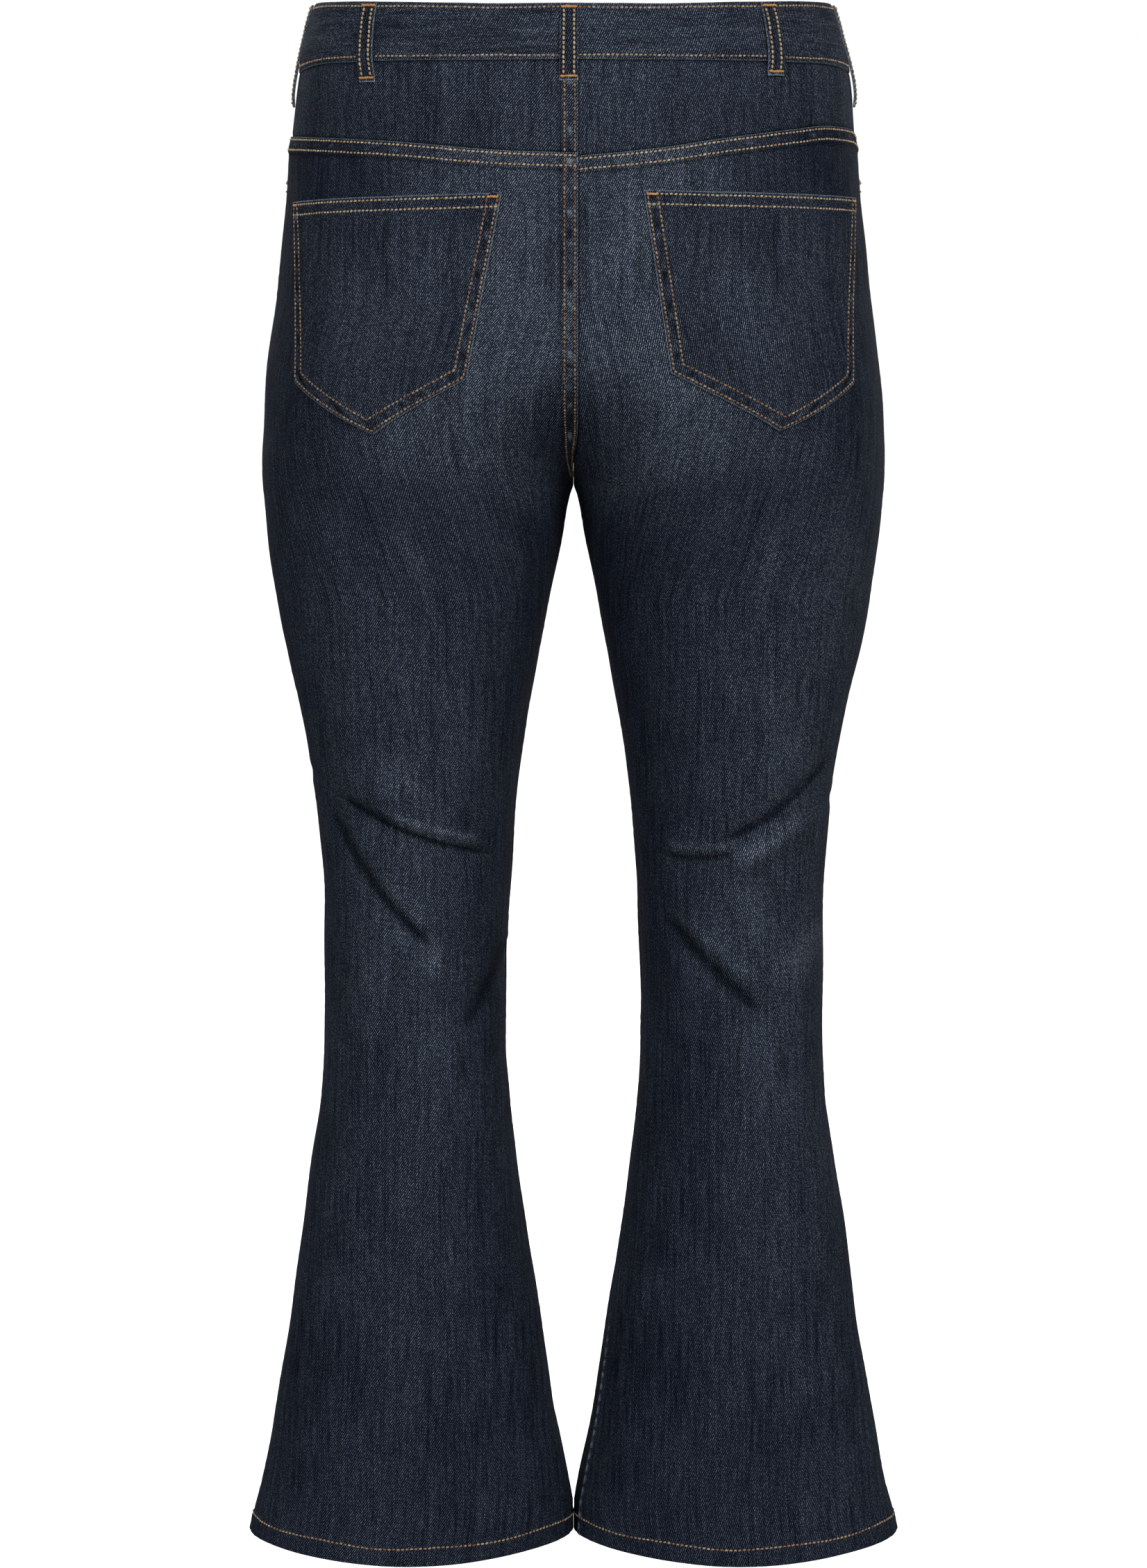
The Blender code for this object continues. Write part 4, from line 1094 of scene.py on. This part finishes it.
def belt_loop(loop):
    across = np.array([-6, -5.7, -5.1, -4.2, -3.4, -2.2, 0, 2.2, 3.4, 4.2, 5.1, 5.7, 6]) * MM
    last = loop.foot * MM
    first = LOOP_DROP[0] * last / LOOP_DROP[-1]
    between = np.linspace(first + 4.3 * MM, last - 4.5 * MM, 33)
    drop = np.concatenate([first + np.array([0, 0.3, 0.8, 1.6, 2.6]) * MM, between])
    drop = np.concatenate([drop, last - np.array([3.2, 2.4, 1.6, 0.9, 0.4, 0]) * MM])[:, None]
    from_edge = LOOP_WIDTH / 2 - np.abs(across)
    from_end = np.minimum(drop - first, last - drop)
    rolled = -0.45 * MM * falling(from_edge, 0.45) - 0.3 * MM * falling(from_end, 0.4)
    full = -0.14 * MM * bump(np.abs(across), LOOP_ROW, 0.8 * MM) + 0.18 * MM * bump(across, 0, 2.4 * MM)
    from_tack = np.minimum(np.abs(drop - LOOP_TACKS[0]), np.abs(last - 2.7 * MM - drop))
    tacked = -0.25 * MM * bump(from_tack, 0, 1.2 * MM)
    rumple = 0.16 * MM * np.sin(drop / (2.1 * MM) + loop.centre) * np.sin(drop / (0.9 * MM))
    lift = loop_height(loop, drop) + LOOP_CLOTH + rolled + full + tacked + rumple
    place = loop_place(loop, drop, across)
    outer, _ = on_waist(place, drop, lift)
    inner, _ = on_waist(place, drop, loop_height(loop, drop))
    uv = np.stack(np.broadcast_arrays(across + 0.013 * loop.centre, -drop), axis=-1)
    wear = 0.8 * falling(from_edge, 0.6) + 1.1 * falling(last - drop, 1.0)
    wear = wear + 0.3 * bump(across, 0, 1.6 * MM) + 0.5 * falling(drop - first, 0.6)
    marks = {"wear": wear, "fade": 0.15, **weave(uv, 66)}
    piece = shell("belt_loop_" + loop.name + "_cloth", outer, inner, uv, marks)
    finish_cloth(piece, "belt_loop_" + loop.name)


# ---- Threads


def stitch_shape():
    """One stitch of thread along X, modelled from a sphere: its ends bend down into the cloth."""
    bpy.ops.object.select_all(action="DESELECT")
    bpy.ops.mesh.primitive_uv_sphere_add(segments=6, ring_count=4, radius=THREAD_RADIUS)
    model = bpy.context.object
    bpy.ops.object.mode_set(mode="EDIT")
    bpy.ops.mesh.select_all(action="SELECT")
    bpy.ops.transform.rotate(value=np.pi / 2, orient_axis="Y", center_override=(0, 0, 0))
    bpy.ops.transform.resize(value=(STITCH_LENGTH / 2 / THREAD_RADIUS, 1, 1), center_override=(0, 0, 0))
    bpy.ops.object.mode_set(mode="OBJECT")
    points = np.array([vertex.co[:] for vertex in model.data.vertices])
    points[:, 2] -= 0.4 * MM * (points[:, 0] / (STITCH_LENGTH / 2)) ** 2
    faces = [list(face.vertices) for face in model.data.polygons]
    bpy.data.objects.remove(model, do_unlink=True)
    return points, faces


STITCH_POINTS, STITCH_FACES = stitch_shape()
jitter = np.random.default_rng(11)


def resampled(points, out, pitch):
    """Even places along a path, with the path's direction and the cloth's at each."""
    run = run_along(points)
    count = max(1, int(run[-1] / pitch))
    at = (np.arange(count) + 0.5) * run[-1] / count

    def read(values, place):
        return np.stack([np.interp(place, run, values[:, axis]) for axis in range(3)], axis=-1)

    reach = 0.45 * pitch
    along = read(points, at + reach) - read(points, at - reach)
    up = read(out, at)
    along = along / np.linalg.norm(along, axis=-1, keepdims=True)
    up = up - along * (up * along).sum(axis=-1, keepdims=True)
    return read(points, at), along, up / np.linalg.norm(up, axis=-1, keepdims=True)


def row(points, out, shade):
    """A row of stitches: where each is, its direction, which way is out, its size and how pale it is."""
    spots, along, up = resampled(points, out, PITCH)
    turn = np.radians(7 + jitter.normal(0, 3, len(spots)))[:, None]
    side = np.cross(up, along)
    spots = spots + side * jitter.normal(0, 0.07 * MM, len(spots))[:, None]
    spots = spots + up * jitter.normal(0, 0.04 * MM, len(spots))[:, None]
    shades = shade + jitter.normal(0, 0.16, len(spots))
    size = jitter.uniform(0.9, 1.05, len(spots))
    return spots, along * np.cos(turn) + side * np.sin(turn), up, size, shades


def tack(points, out, length=1.8 * MM, pitch=0.6 * MM):
    """A bar-tack: close stitches across a short line."""
    spots, along, up = resampled(points, out, pitch)
    side = np.cross(up, along)
    spots = spots + side * jitter.normal(0, 0.16 * MM, len(spots))[:, None]
    lean = np.where(np.arange(len(spots)) % 2, 0.16, -0.16)[:, None]
    across = side + along * lean
    across = across / np.linalg.norm(across, axis=-1, keepdims=True)
    size = jitter.uniform(0.92, 1.1, len(spots)) * length / STITCH_LENGTH
    return spots + up * 0.15 * MM, across, up, size, 0.5 + jitter.normal(0, 0.2, len(spots))


def stitches(name, node, rows, colour):
    """One mesh of stitches on a piece of cloth."""
    spots, along, up, size, shade = (np.concatenate(part) for part in zip(*rows))
    spots, along, side, up = (part[:, None] for part in (spots, along, np.cross(up, along), up))
    x, y, z = STITCH_POINTS.T
    points = spots + (size[:, None] * x)[..., None] * along + y[:, None] * side + z[:, None] * up
    first = np.arange(len(spots)) * len(STITCH_POINTS)
    faces = [[start + corner for corner in face] for start in first.tolist() for face in STITCH_FACES]
    data = bpy.data.meshes.new(name)
    data.from_pydata(points.reshape(-1, 3), [], faces)
    set_values(data, "shade", np.repeat(shade, len(STITCH_POINTS)))
    data.shade_smooth()
    thing = placed(name, data)
    data.materials.append(THREAD[colour])
    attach(thing, "root")
    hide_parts(node)


def sew(node, rows, tacks=()):
    """A piece's rows of gold stitches, and its orange bar-tacks."""
    stitches(node + "_thread", node, rows, "gold")
    if tacks:
        stitches(node + "_tacks", node, tacks, "orange")


def panel_row(side, face, lift, share, height, shade):
    share, height = np.broadcast_arrays(share, height)
    return row(*on_cloth(side, face, share, height, lift(side, share, height) - SINK, gap=False), shade)


def centre_row(side, face, lift, distance, height, shade):
    """A row of stitches that is so far in from the half's inner edge."""
    return panel_row(side, face, lift, share_in(side, face, distance, height), height, shade)


def hem_row(side, face, lift, turns, start):
    across = np.linspace(0.004, 0.996, 241)
    waver = 0.6 * MM * np.sin(across * turns + start)
    return panel_row(side, face, lift, across, hem_height(face, across) + HEM_ROW + waver, HEM_SHADE)


def sew_back_panel(side):
    across = np.linspace(0.004, share_in(side, BACK, 0.6 * MM, PANEL_TOP), 241)
    seam = yoke_seam(side, across)
    rows = [panel_row(side, BACK, back_lift, across, seam - below, YOKE_SHADE) for below in ROWS]
    rows.append(hem_row(side, BACK, back_lift, 23, side))
    if side == LEFT:
        height = np.linspace(yoke_seam(side, 1) - 1.0 * MM, CROTCH + 6 * MM, 201)
        rows += [centre_row(side, BACK, back_lift, distance, height, CENTRE_SHADE) for distance in ROWS]
    sew("back_panel_" + SIDE_NAME[side], rows)


def sew_yoke():
    height = np.linspace(-BAND_HEIGHT - 1 * MM, yoke_seam(LEFT, 1) + 0.5 * MM, 41)
    rows = [centre_row(LEFT, BACK, yoke_lift, distance, height, CENTRE_SHADE) for distance in ROWS]
    sew("yoke_left", rows)


def front_tack(side, share, height):
    share, height = np.broadcast_arrays(share, height)
    return tack(*on_cloth(side, FRONT, share, height, front_lift(side, share, height), gap=False))


def fly_rows():
    """The centre front's two rows, one of them only below the fly, and the fly's two curved ones."""
    start = -BAND_HEIGHT - SEAM_GAP - FRONT_DIP - 1 * MM
    height = np.linspace(start, CROTCH + 6 * MM, 181)
    low = height[height < FLY_END - 2 * MM]
    paths = [(ROWS[0], height), (ROWS[1], low)]
    turn = np.linspace(0, np.pi / 2, 31)
    straight = np.linspace(start, FLY_BEND, 41)[:-1]
    for width in FLY_ROWS:
        end = FLY_END - (width - FLY_ROWS[0])
        height = np.concatenate([straight, FLY_BEND + (end - FLY_BEND) * np.sin(turn)])
        curve = ROWS[1] + (width - ROWS[1]) * np.cos(turn)
        paths.append((np.concatenate([width + 0 * straight, curve]), height))
    return [centre_row(LEFT, FRONT, front_lift, *path, FRONT_SHADE) for path in paths]


def sew_front_panel(side):
    rows = [hem_row(side, FRONT, front_lift, 21, -side)]
    line = mouth_line(121)
    slope = np.gradient(line, axis=0)
    slope = slope / np.linalg.norm(slope, axis=-1, keepdims=True)
    inward = np.stack([slope[:, 1], -slope[:, 0]], axis=-1)
    for distance in ROWS:
        along, height = (line + inward * distance).T
        share = along / whole_length(FRONT, height)
        keep = (height < band_bottom(FRONT, share) - 0.8 * MM) & (along > 1 * MM)
        rows.append(panel_row(side, FRONT, front_lift, share[keep], height[keep], FRONT_SHADE))
    share = np.linspace(0.5, 10.5, 5) * MM / whole_length(FRONT, line[0, 1])
    tacks = [front_tack(side, share, line[0, 1] - 3.2 * MM)]
    if side == LEFT:
        rows += fly_rows()
        for across, heights in FLY_TACKS:
            distance, height = np.linspace(*across, 5) * MM, np.linspace(*heights, 5) * MM
            tacks.append(front_tack(side, share_in(side, FRONT, distance, height), height))
    sew("front_panel_" + SIDE_NAME[side], rows, tacks)


def band_row(place, drop):
    place, drop = np.broadcast_arrays(place, drop)
    level = band_raised(place) + BAND_OUTER + band_lift(place * QUARTER, drop) - SINK
    return on_waist(place, drop, level)


def sew_waistband():
    rows = []
    half = (LOOP_WIDTH / 2 - 0.3 * MM) / QUARTER
    start = BAND_START + 2.6 * MM / QUARTER
    for drop in BAND_ROWS:
        ends = [start]
        for place in sorted(float(loop_place(loop, drop, 0.0)) % 4 for loop in LOOPS):
            ends += [place - half, place + half]
        ends.append(4 - BAND_OVER / QUARTER)
        for first, last in zip(ends[::2], ends[1::2]):
            place = np.linspace(first, last, max(3, int((last - first) * 80)))
            waver = 0.2 * MM * np.sin(place * 17 + drop * 900)
            rows.append(row(*band_row(place, drop + waver), BAND_SHADE))
    rows.append(row(*band_row(start, np.linspace(*BAND_ROWS, 21)), BAND_SHADE))
    # the buttonhole's outline, fuller towards the waistband's end
    turn = np.linspace(0, 2 * np.pi, 61)
    reach = np.where(np.cos(turn) < 0, 1.0, 0.72)
    place = (13.5 * MM + 11.5 * MM * np.cos(turn)) / QUARTER
    drop = BAND_HEIGHT / 2 + 2.3 * MM * np.sin(turn) * reach
    rows.append(tack(*band_row(place, drop), length=2.3 * MM, pitch=0.62 * MM))
    sew("waistband", rows)


def sew_pocket(side):
    def points(corners):
        parts = [np.linspace(a, b, 60)[:-1] for a, b in zip(corners[:-1], corners[1:])]
        along, height = np.concatenate(parts + [corners[-1:]]).T
        share = 1 - along / whole_length(BACK, height)
        return on_cloth(side, BACK, share, height, pocket_lift(side, along, height) - SINK)

    rows = []
    for distance in POCKET_ROWS:
        corners = pocket_inset(side, 0.6 * MM, distance)
        rows.append(row(*points(corners[[0, 4, 3, 2, 1]]), POCKET_SIDE_SHADE))
    for distance in POCKET_TOP_ROWS:
        corners = pocket_inset(side, distance, 0.8 * MM)
        rows.append(row(*points(corners[:2]), POCKET_TOP_SHADE))
    inner, outer = pocket_inset(side, 2.6 * MM, 2.0 * MM)[:2]
    along = (outer - inner) / np.linalg.norm(outer - inner)
    ends = [(inner, inner + along * 7.0 * MM), (outer - along * 5.0 * MM, outer)]
    sew("back_pocket_" + SIDE_NAME[side], rows, [tack(*points(np.array(pair))) for pair in ends])


def sew_loop(loop):
    def points(across, drop):
        lift = loop_height(loop, drop) + LOOP_CLOTH + 0.04 * MM
        return on_waist(loop_place(loop, drop, across), drop, lift)

    drop = np.linspace(4.5 * MM, (loop.foot - 4) * MM, 61)
    rows = [row(*points(side * LOOP_ROW + 0 * drop, drop), LOOP_SHADE) for side in (-1, 1)]
    across = np.linspace(-5.2 * MM, 5.2 * MM, 9)
    tacks = [tack(*points(across, LOOP_TACKS[0] + 0 * across))]
    tacks.append(tack(*points(across, loop.foot * MM - LOOP_TACKS[1] + 0 * across), length=1.6 * MM))
    sew("belt_loop_" + loop.name, rows, tacks)


# ---- The button


def select_top(mesh):
    """Selects the flat face on top."""
    for face in mesh.faces:
        face.select_set(False)
    chosen = max(mesh.faces, key=lambda face: face.calc_center_median().z + face.calc_area())
    chosen.select_set(True)


def make_button():
    """A domed shank button: a disc with a raised rim, a shallow groove and a low boss."""
    bpy.ops.object.select_all(action="DESELECT")
    bpy.ops.mesh.primitive_cylinder_add(
        vertices=64, radius=BUTTON_RADIUS, depth=BUTTON_THICK, location=(0, 0, 0)
    )
    button = bpy.context.object
    button.name = "waist_button_cap"
    bpy.ops.object.mode_set(mode="EDIT")
    select_top(bmesh.from_edit_mesh(button.data))
    bmesh.update_edit_mesh(button.data)
    for inset, rise in BUTTON_FACE:
        bpy.ops.mesh.inset(thickness=inset * MM, depth=rise * MM)
    bpy.ops.mesh.select_all(action="SELECT")
    bpy.ops.mesh.normals_make_consistent(inside=False)
    bpy.ops.object.mode_set(mode="OBJECT")
    bevel = button.modifiers.new("rounding", "BEVEL")
    bevel.width = 0.18 * MM
    bevel.segments = 2
    bevel.limit_method = "ANGLE"
    bevel.angle_limit = np.radians(30)
    bpy.ops.object.modifier_apply(modifier="rounding")
    bpy.ops.object.shade_smooth()
    button.data.set_sharp_from_angle(angle=np.radians(50))
    place, drop = np.array([BUTTON_IN / QUARTER]), np.array([BAND_HEIGHT / 2])
    (seat,), (outwards,) = on_waist(place, drop, BAND_STEP + BAND_OUTER)
    turn = Vector(outwards).to_track_quat("Z", "Y").to_matrix().to_4x4()
    middle = Vector(seat) + Vector(outwards) * BUTTON_OFF
    button.data.transform(Matrix.Translation(middle) @ turn)
    button.data.materials.append(BUTTON_METAL)
    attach(button, "root")
    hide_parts("waist_button")


# ---- Materials


class Term:
    """A socket in a shader, with arithmetic."""

    def __init__(self, tree, socket):
        self.tree, self.socket = tree, socket

    def node(self, kind, inputs, output=0, **settings):
        made = self.tree.nodes.new(kind)
        for name, value in settings.items():
            setattr(made, name, value)
        for name, value in inputs.items():
            if isinstance(value, Term):
                value.into(made, name)
            else:
                made.inputs[name].default_value = value
        return Term(self.tree, made.outputs[output])

    def into(self, node, name):
        self.tree.links.new(self.socket, node.inputs[name])

    def maths(self, operation, *values):
        return self.node("ShaderNodeMath", dict(enumerate(values)), operation=operation)

    def __add__(self, other):
        return self.maths("ADD", self, other)

    def __mul__(self, other):
        return self.maths("MULTIPLY", self, other)

    def __sub__(self, other):
        return self.maths("SUBTRACT", self, other)

    def __rsub__(self, other):
        return self.maths("SUBTRACT", other, self)

    __radd__ = __add__
    __rmul__ = __mul__

    def between(self, low, high):
        """From 0 at low to 1 at high, softly."""
        inputs = {"Value": self, "From Min": low, "From Max": high}
        return self.node("ShaderNodeMapRange", inputs, interpolation_type="SMOOTHSTEP")

    def stretched(self, x, y, z=0.0):
        """These coordinates with one unit for each so many millimetres."""
        inputs = {0: self, 1: (1 / (x * MM), 1 / (y * MM), 1 / (z * MM) if z else 0)}
        return self.node("ShaderNodeVectorMath", inputs, operation="MULTIPLY")

    def paired(self, other):
        """Two values as coordinates: this one stepping from line to line, the other along them."""
        return self.node("ShaderNodeCombineXYZ", {0: self * 7.31, 1: other})

    def noise(self, detail=2.0, roughness=0.5, dimensions="2D"):
        inputs = {"Vector": self, "Scale": 1.0, "Detail": detail, "Roughness": roughness}
        return self.node("ShaderNodeTexNoise", inputs, noise_dimensions=dimensions)

    def blend(self, low, high):
        """A colour between two others, by this amount."""
        inputs = {0: self, 6: low, 7: high}
        return self.node("ShaderNodeMix", inputs, output=2, data_type="RGBA", clamp_factor=True)

    def bumps(self, strength, distance):
        """This height, as a normal."""
        inputs = {"Strength": strength, "Distance": distance * MM, "Height": self}
        return self.node("ShaderNodeBump", inputs)


def colour(red, green, blue):
    """A colour picked as it looks on a screen, from 0 to 255."""
    value = np.array([red, green, blue]) / 255
    value = np.where(value < 0.04045, value / 12.92, ((value + 0.055) / 1.055) ** 2.4)
    return (*value.tolist(), 1.0)


def new_material(name, **settings):
    material = bpy.data.materials.new(name)
    material.use_nodes = True
    tree = material.node_tree
    shader = tree.nodes["Principled BSDF"]
    for socket, value in settings.items():
        shader.inputs[socket.replace("_", " ")].default_value = value
    return material, tree, shader


def attribute(tree, name):
    found = tree.nodes.new("ShaderNodeAttribute")
    found.attribute_name = name
    return Term(tree, found.outputs["Fac"])


def object_place(tree):
    return Term(tree, tree.nodes.new("ShaderNodeTexCoord").outputs["Object"])


def denim():
    """Indigo twill: dyed warp in uneven upright yarns, and flecks of pale weft along its diagonals."""
    material, tree, shader = new_material("denim", Roughness=0.85, Specular_IOR_Level=0.06)
    place = tree.nodes.new("ShaderNodeUVMap")
    place.uv_map = "cloth"
    place = Term(tree, place.outputs[0])
    wear, fade, inside = (attribute(tree, name) for name in ("wear", "fade", "inside"))
    lines, along = (attribute(tree, name) for name in ("twill", "along"))

    yarns = place.stretched(1.1, 32).noise(2.0, 0.6)
    streaks = place.stretched(4.2, 110).noise(2.0, 0.5)
    clouds = place.stretched(46, 60).noise(3.0, 0.55)
    grain = place.stretched(0.55, 0.7).noise(1.0, 0.6)
    wander = place.stretched(3.1, 2.2).noise(1.0, 0.5)
    shifted = lines + (wander - 0.5) * 0.4
    count = shifted.maths("FLOOR", shifted)
    middle = shifted - count - 0.5
    weft = 1 - middle.maths("ABSOLUTE", middle) * 2
    dash = count.paired(along * (1 / 0.85)).noise(1.0, 0.5)
    flecks = (dash.between(0.42, 0.7) * 0.85 + 0.15) * weft.between(0.35, 0.95)

    uneven = fade + 0.45  # the cloth is plainer where it hasn't faded
    tone = 0.05 + fade * 0.3 + (yarns - 0.5) * 0.7 + (streaks - 0.5) * uneven * 0.45
    tone = tone + (clouds - 0.5) * 0.3 + (grain - 0.5) * 1.8 + (weft - 0.5) * 0.4
    patchy = (yarns - 0.5) * 1.3 + (clouds - 0.5) * 0.6 + (streaks - 0.5) * 0.65
    speck = flecks * (0.17 + fade * 0.95 + uneven * patchy)
    flecked = speck.blend(tone.blend(DEEP_INDIGO, FADED_INDIGO), PALE_WEFT)
    rubbed = (wear * (0.1 + grain * 1.1 + flecks * 1.1)).between(0.18, 1.1)
    # painted shade: below 0 the worn-and-shaded value darkens the cloth towards SHADE
    deep = (wear * -1.0).between(0.0, 0.5) * 0.7
    face = deep.blend(rubbed.blend(flecked, RUBBED_EDGE), SHADE)
    back = (0.55 + (yarns - 0.5) * 0.8 - (weft - 0.5) * 0.5).blend(*WRONG_SIDE)
    inside.between(0.4, 0.6).blend(face, back).into(shader, "Base Color")
    (weft * -0.5 + yarns * 0.5 + grain * 0.6).bumps(0.55, 0.22).into(shader, "Normal")
    return material


def thread(name, low, high):
    """Twisted thread whose dye varies a little from stitch to stitch."""
    material, tree, shader = new_material(name, Roughness=0.6, Sheen_Weight=0.2)
    place = object_place(tree)
    patches = place.stretched(2.6, 2.6, 2.6).noise(1.0, 0.5, "3D")
    fibres = place.stretched(0.3, 0.3, 0.3).noise(1.0, 0.5, "3D")
    tone = attribute(tree, "shade") + (patches - 0.5) * 0.6 + (fibres - 0.5) * 0.6
    tone.blend(low, high).into(shader, "Base Color")
    fibres.bumps(0.4, 0.1).into(shader, "Normal")
    return material


def button_metal():
    """Aged copper: its tarnish is darker and smoother."""
    material, tree, shader = new_material("button_metal", Metallic=1.0, Roughness=0.4)
    tarnish = object_place(tree).stretched(2.2, 2.2, 2.2).noise(4.0, 0.6, "3D")
    tarnish.between(0.35, 0.7).blend(*COPPER).into(shader, "Base Color")
    (tarnish * 0.3 + 0.25).into(shader, "Roughness")
    return material


DEEP_INDIGO, FADED_INDIGO, PALE_WEFT = colour(12, 17, 33), colour(51, 66, 94), colour(180, 193, 204)
# RUBBED_EDGE is worn cloth; SHADE is the colour of the painted shade in seams and creases
RUBBED_EDGE, SHADE = colour(160, 178, 194), colour(7, 10, 18)
WRONG_SIDE = colour(62, 72, 90), colour(150, 158, 170)
COPPER = colour(106, 72, 46), colour(178, 124, 84)

DENIM = denim()
THREAD = {
    "gold": thread("thread_gold", colour(138, 84, 42), colour(255, 228, 184)),
    "orange": thread("thread_orange", colour(228, 138, 52), colour(255, 204, 128)),
}
BUTTON_METAL = button_metal()


# ---- Make the jeans

for side in (LEFT, RIGHT):
    for face in (BACK, FRONT):
        leg_panel(side, face)
    yoke(side)
    back_pocket(side)
    facing(side)
    sew_back_panel(side)
    sew_front_panel(side)
    if side == LEFT:
        sew_yoke()
    sew_pocket(side)
waistband()
sew_waistband()
for loop in LOOPS:
    belt_loop(loop)
    sew_loop(loop)
make_button()


# ---- Floor, lights and camera


def soft_light(name, power, size, place):
    light = bpy.data.lights.new(name, "AREA")
    light.shape, light.size, light.energy = "DISK", size, power
    thing = placed(name, light)
    thing.location = place
    thing.rotation_euler = (MIDDLE - Vector(place)).to_track_quat("-Z", "Y").to_euler()


WHITE = (1, 1, 1, 1)
FLOOR_HEIGHT, FLOOR_SIZE = -1.22, 60
MIDDLE = Vector((0, 0, -0.5))
bpy.ops.object.select_all(action="DESELECT")
bpy.ops.mesh.primitive_plane_add(size=FLOOR_SIZE, location=(0, 0, FLOOR_HEIGHT))
floor = bpy.context.object
floor.name = "floor"
floor.visible_diffuse = floor.visible_glossy = False
settings = {"Base_Color": WHITE, "Emission_Color": WHITE, "Emission_Strength": 1.0}
floor.data.materials.append(new_material("floor", Roughness=0.9, **settings)[0])

# the same two lights behind, where the photo is taken from, and in front
soft_light("key", 60, 1.4, (-1.6, 3.4, 2.0))
soft_light("fill", 22, 2.2, (2.2, 3.3, 0.4))
soft_light("front_key", 60, 1.4, (1.6, -3.4, 2.0))
soft_light("front_fill", 22, 2.2, (-2.2, -3.3, 0.4))

# a white world that looks brighter than it lights
world = bpy.data.worlds.new("studio")
bpy.context.scene.world = world
world.use_nodes = True
ray = world.node_tree.nodes.new("ShaderNodeLightPath")
background = world.node_tree.nodes["Background"]
background.inputs["Color"].default_value = WHITE
(Term(world.node_tree, ray.outputs["Is Camera Ray"]) * 0.82 + 0.2).into(background, "Strength")
bpy.context.scene.view_settings.view_transform = "Standard"

# the camera that was fitted to the photo, with its focal length in the photo's pixels
FOCAL_PIXELS, PHOTO_WIDTH, SENSOR = 7453.26, 1652, 36
CAMERA_PLACE, CAMERA_TILT = (0, 3.6, -0.20), 5.2989  # degrees down
lens = bpy.data.cameras.new("camera")
lens.sensor_fit = "HORIZONTAL"
lens.sensor_width, lens.lens = SENSOR, FOCAL_PIXELS / PHOTO_WIDTH * SENSOR
lens.clip_start, lens.clip_end = 0.1, 100
camera = placed("camera", lens)
camera.location = CAMERA_PLACE
camera.rotation_euler = (np.radians(90 - CAMERA_TILT), 0, np.pi)
bpy.context.scene.camera = camera
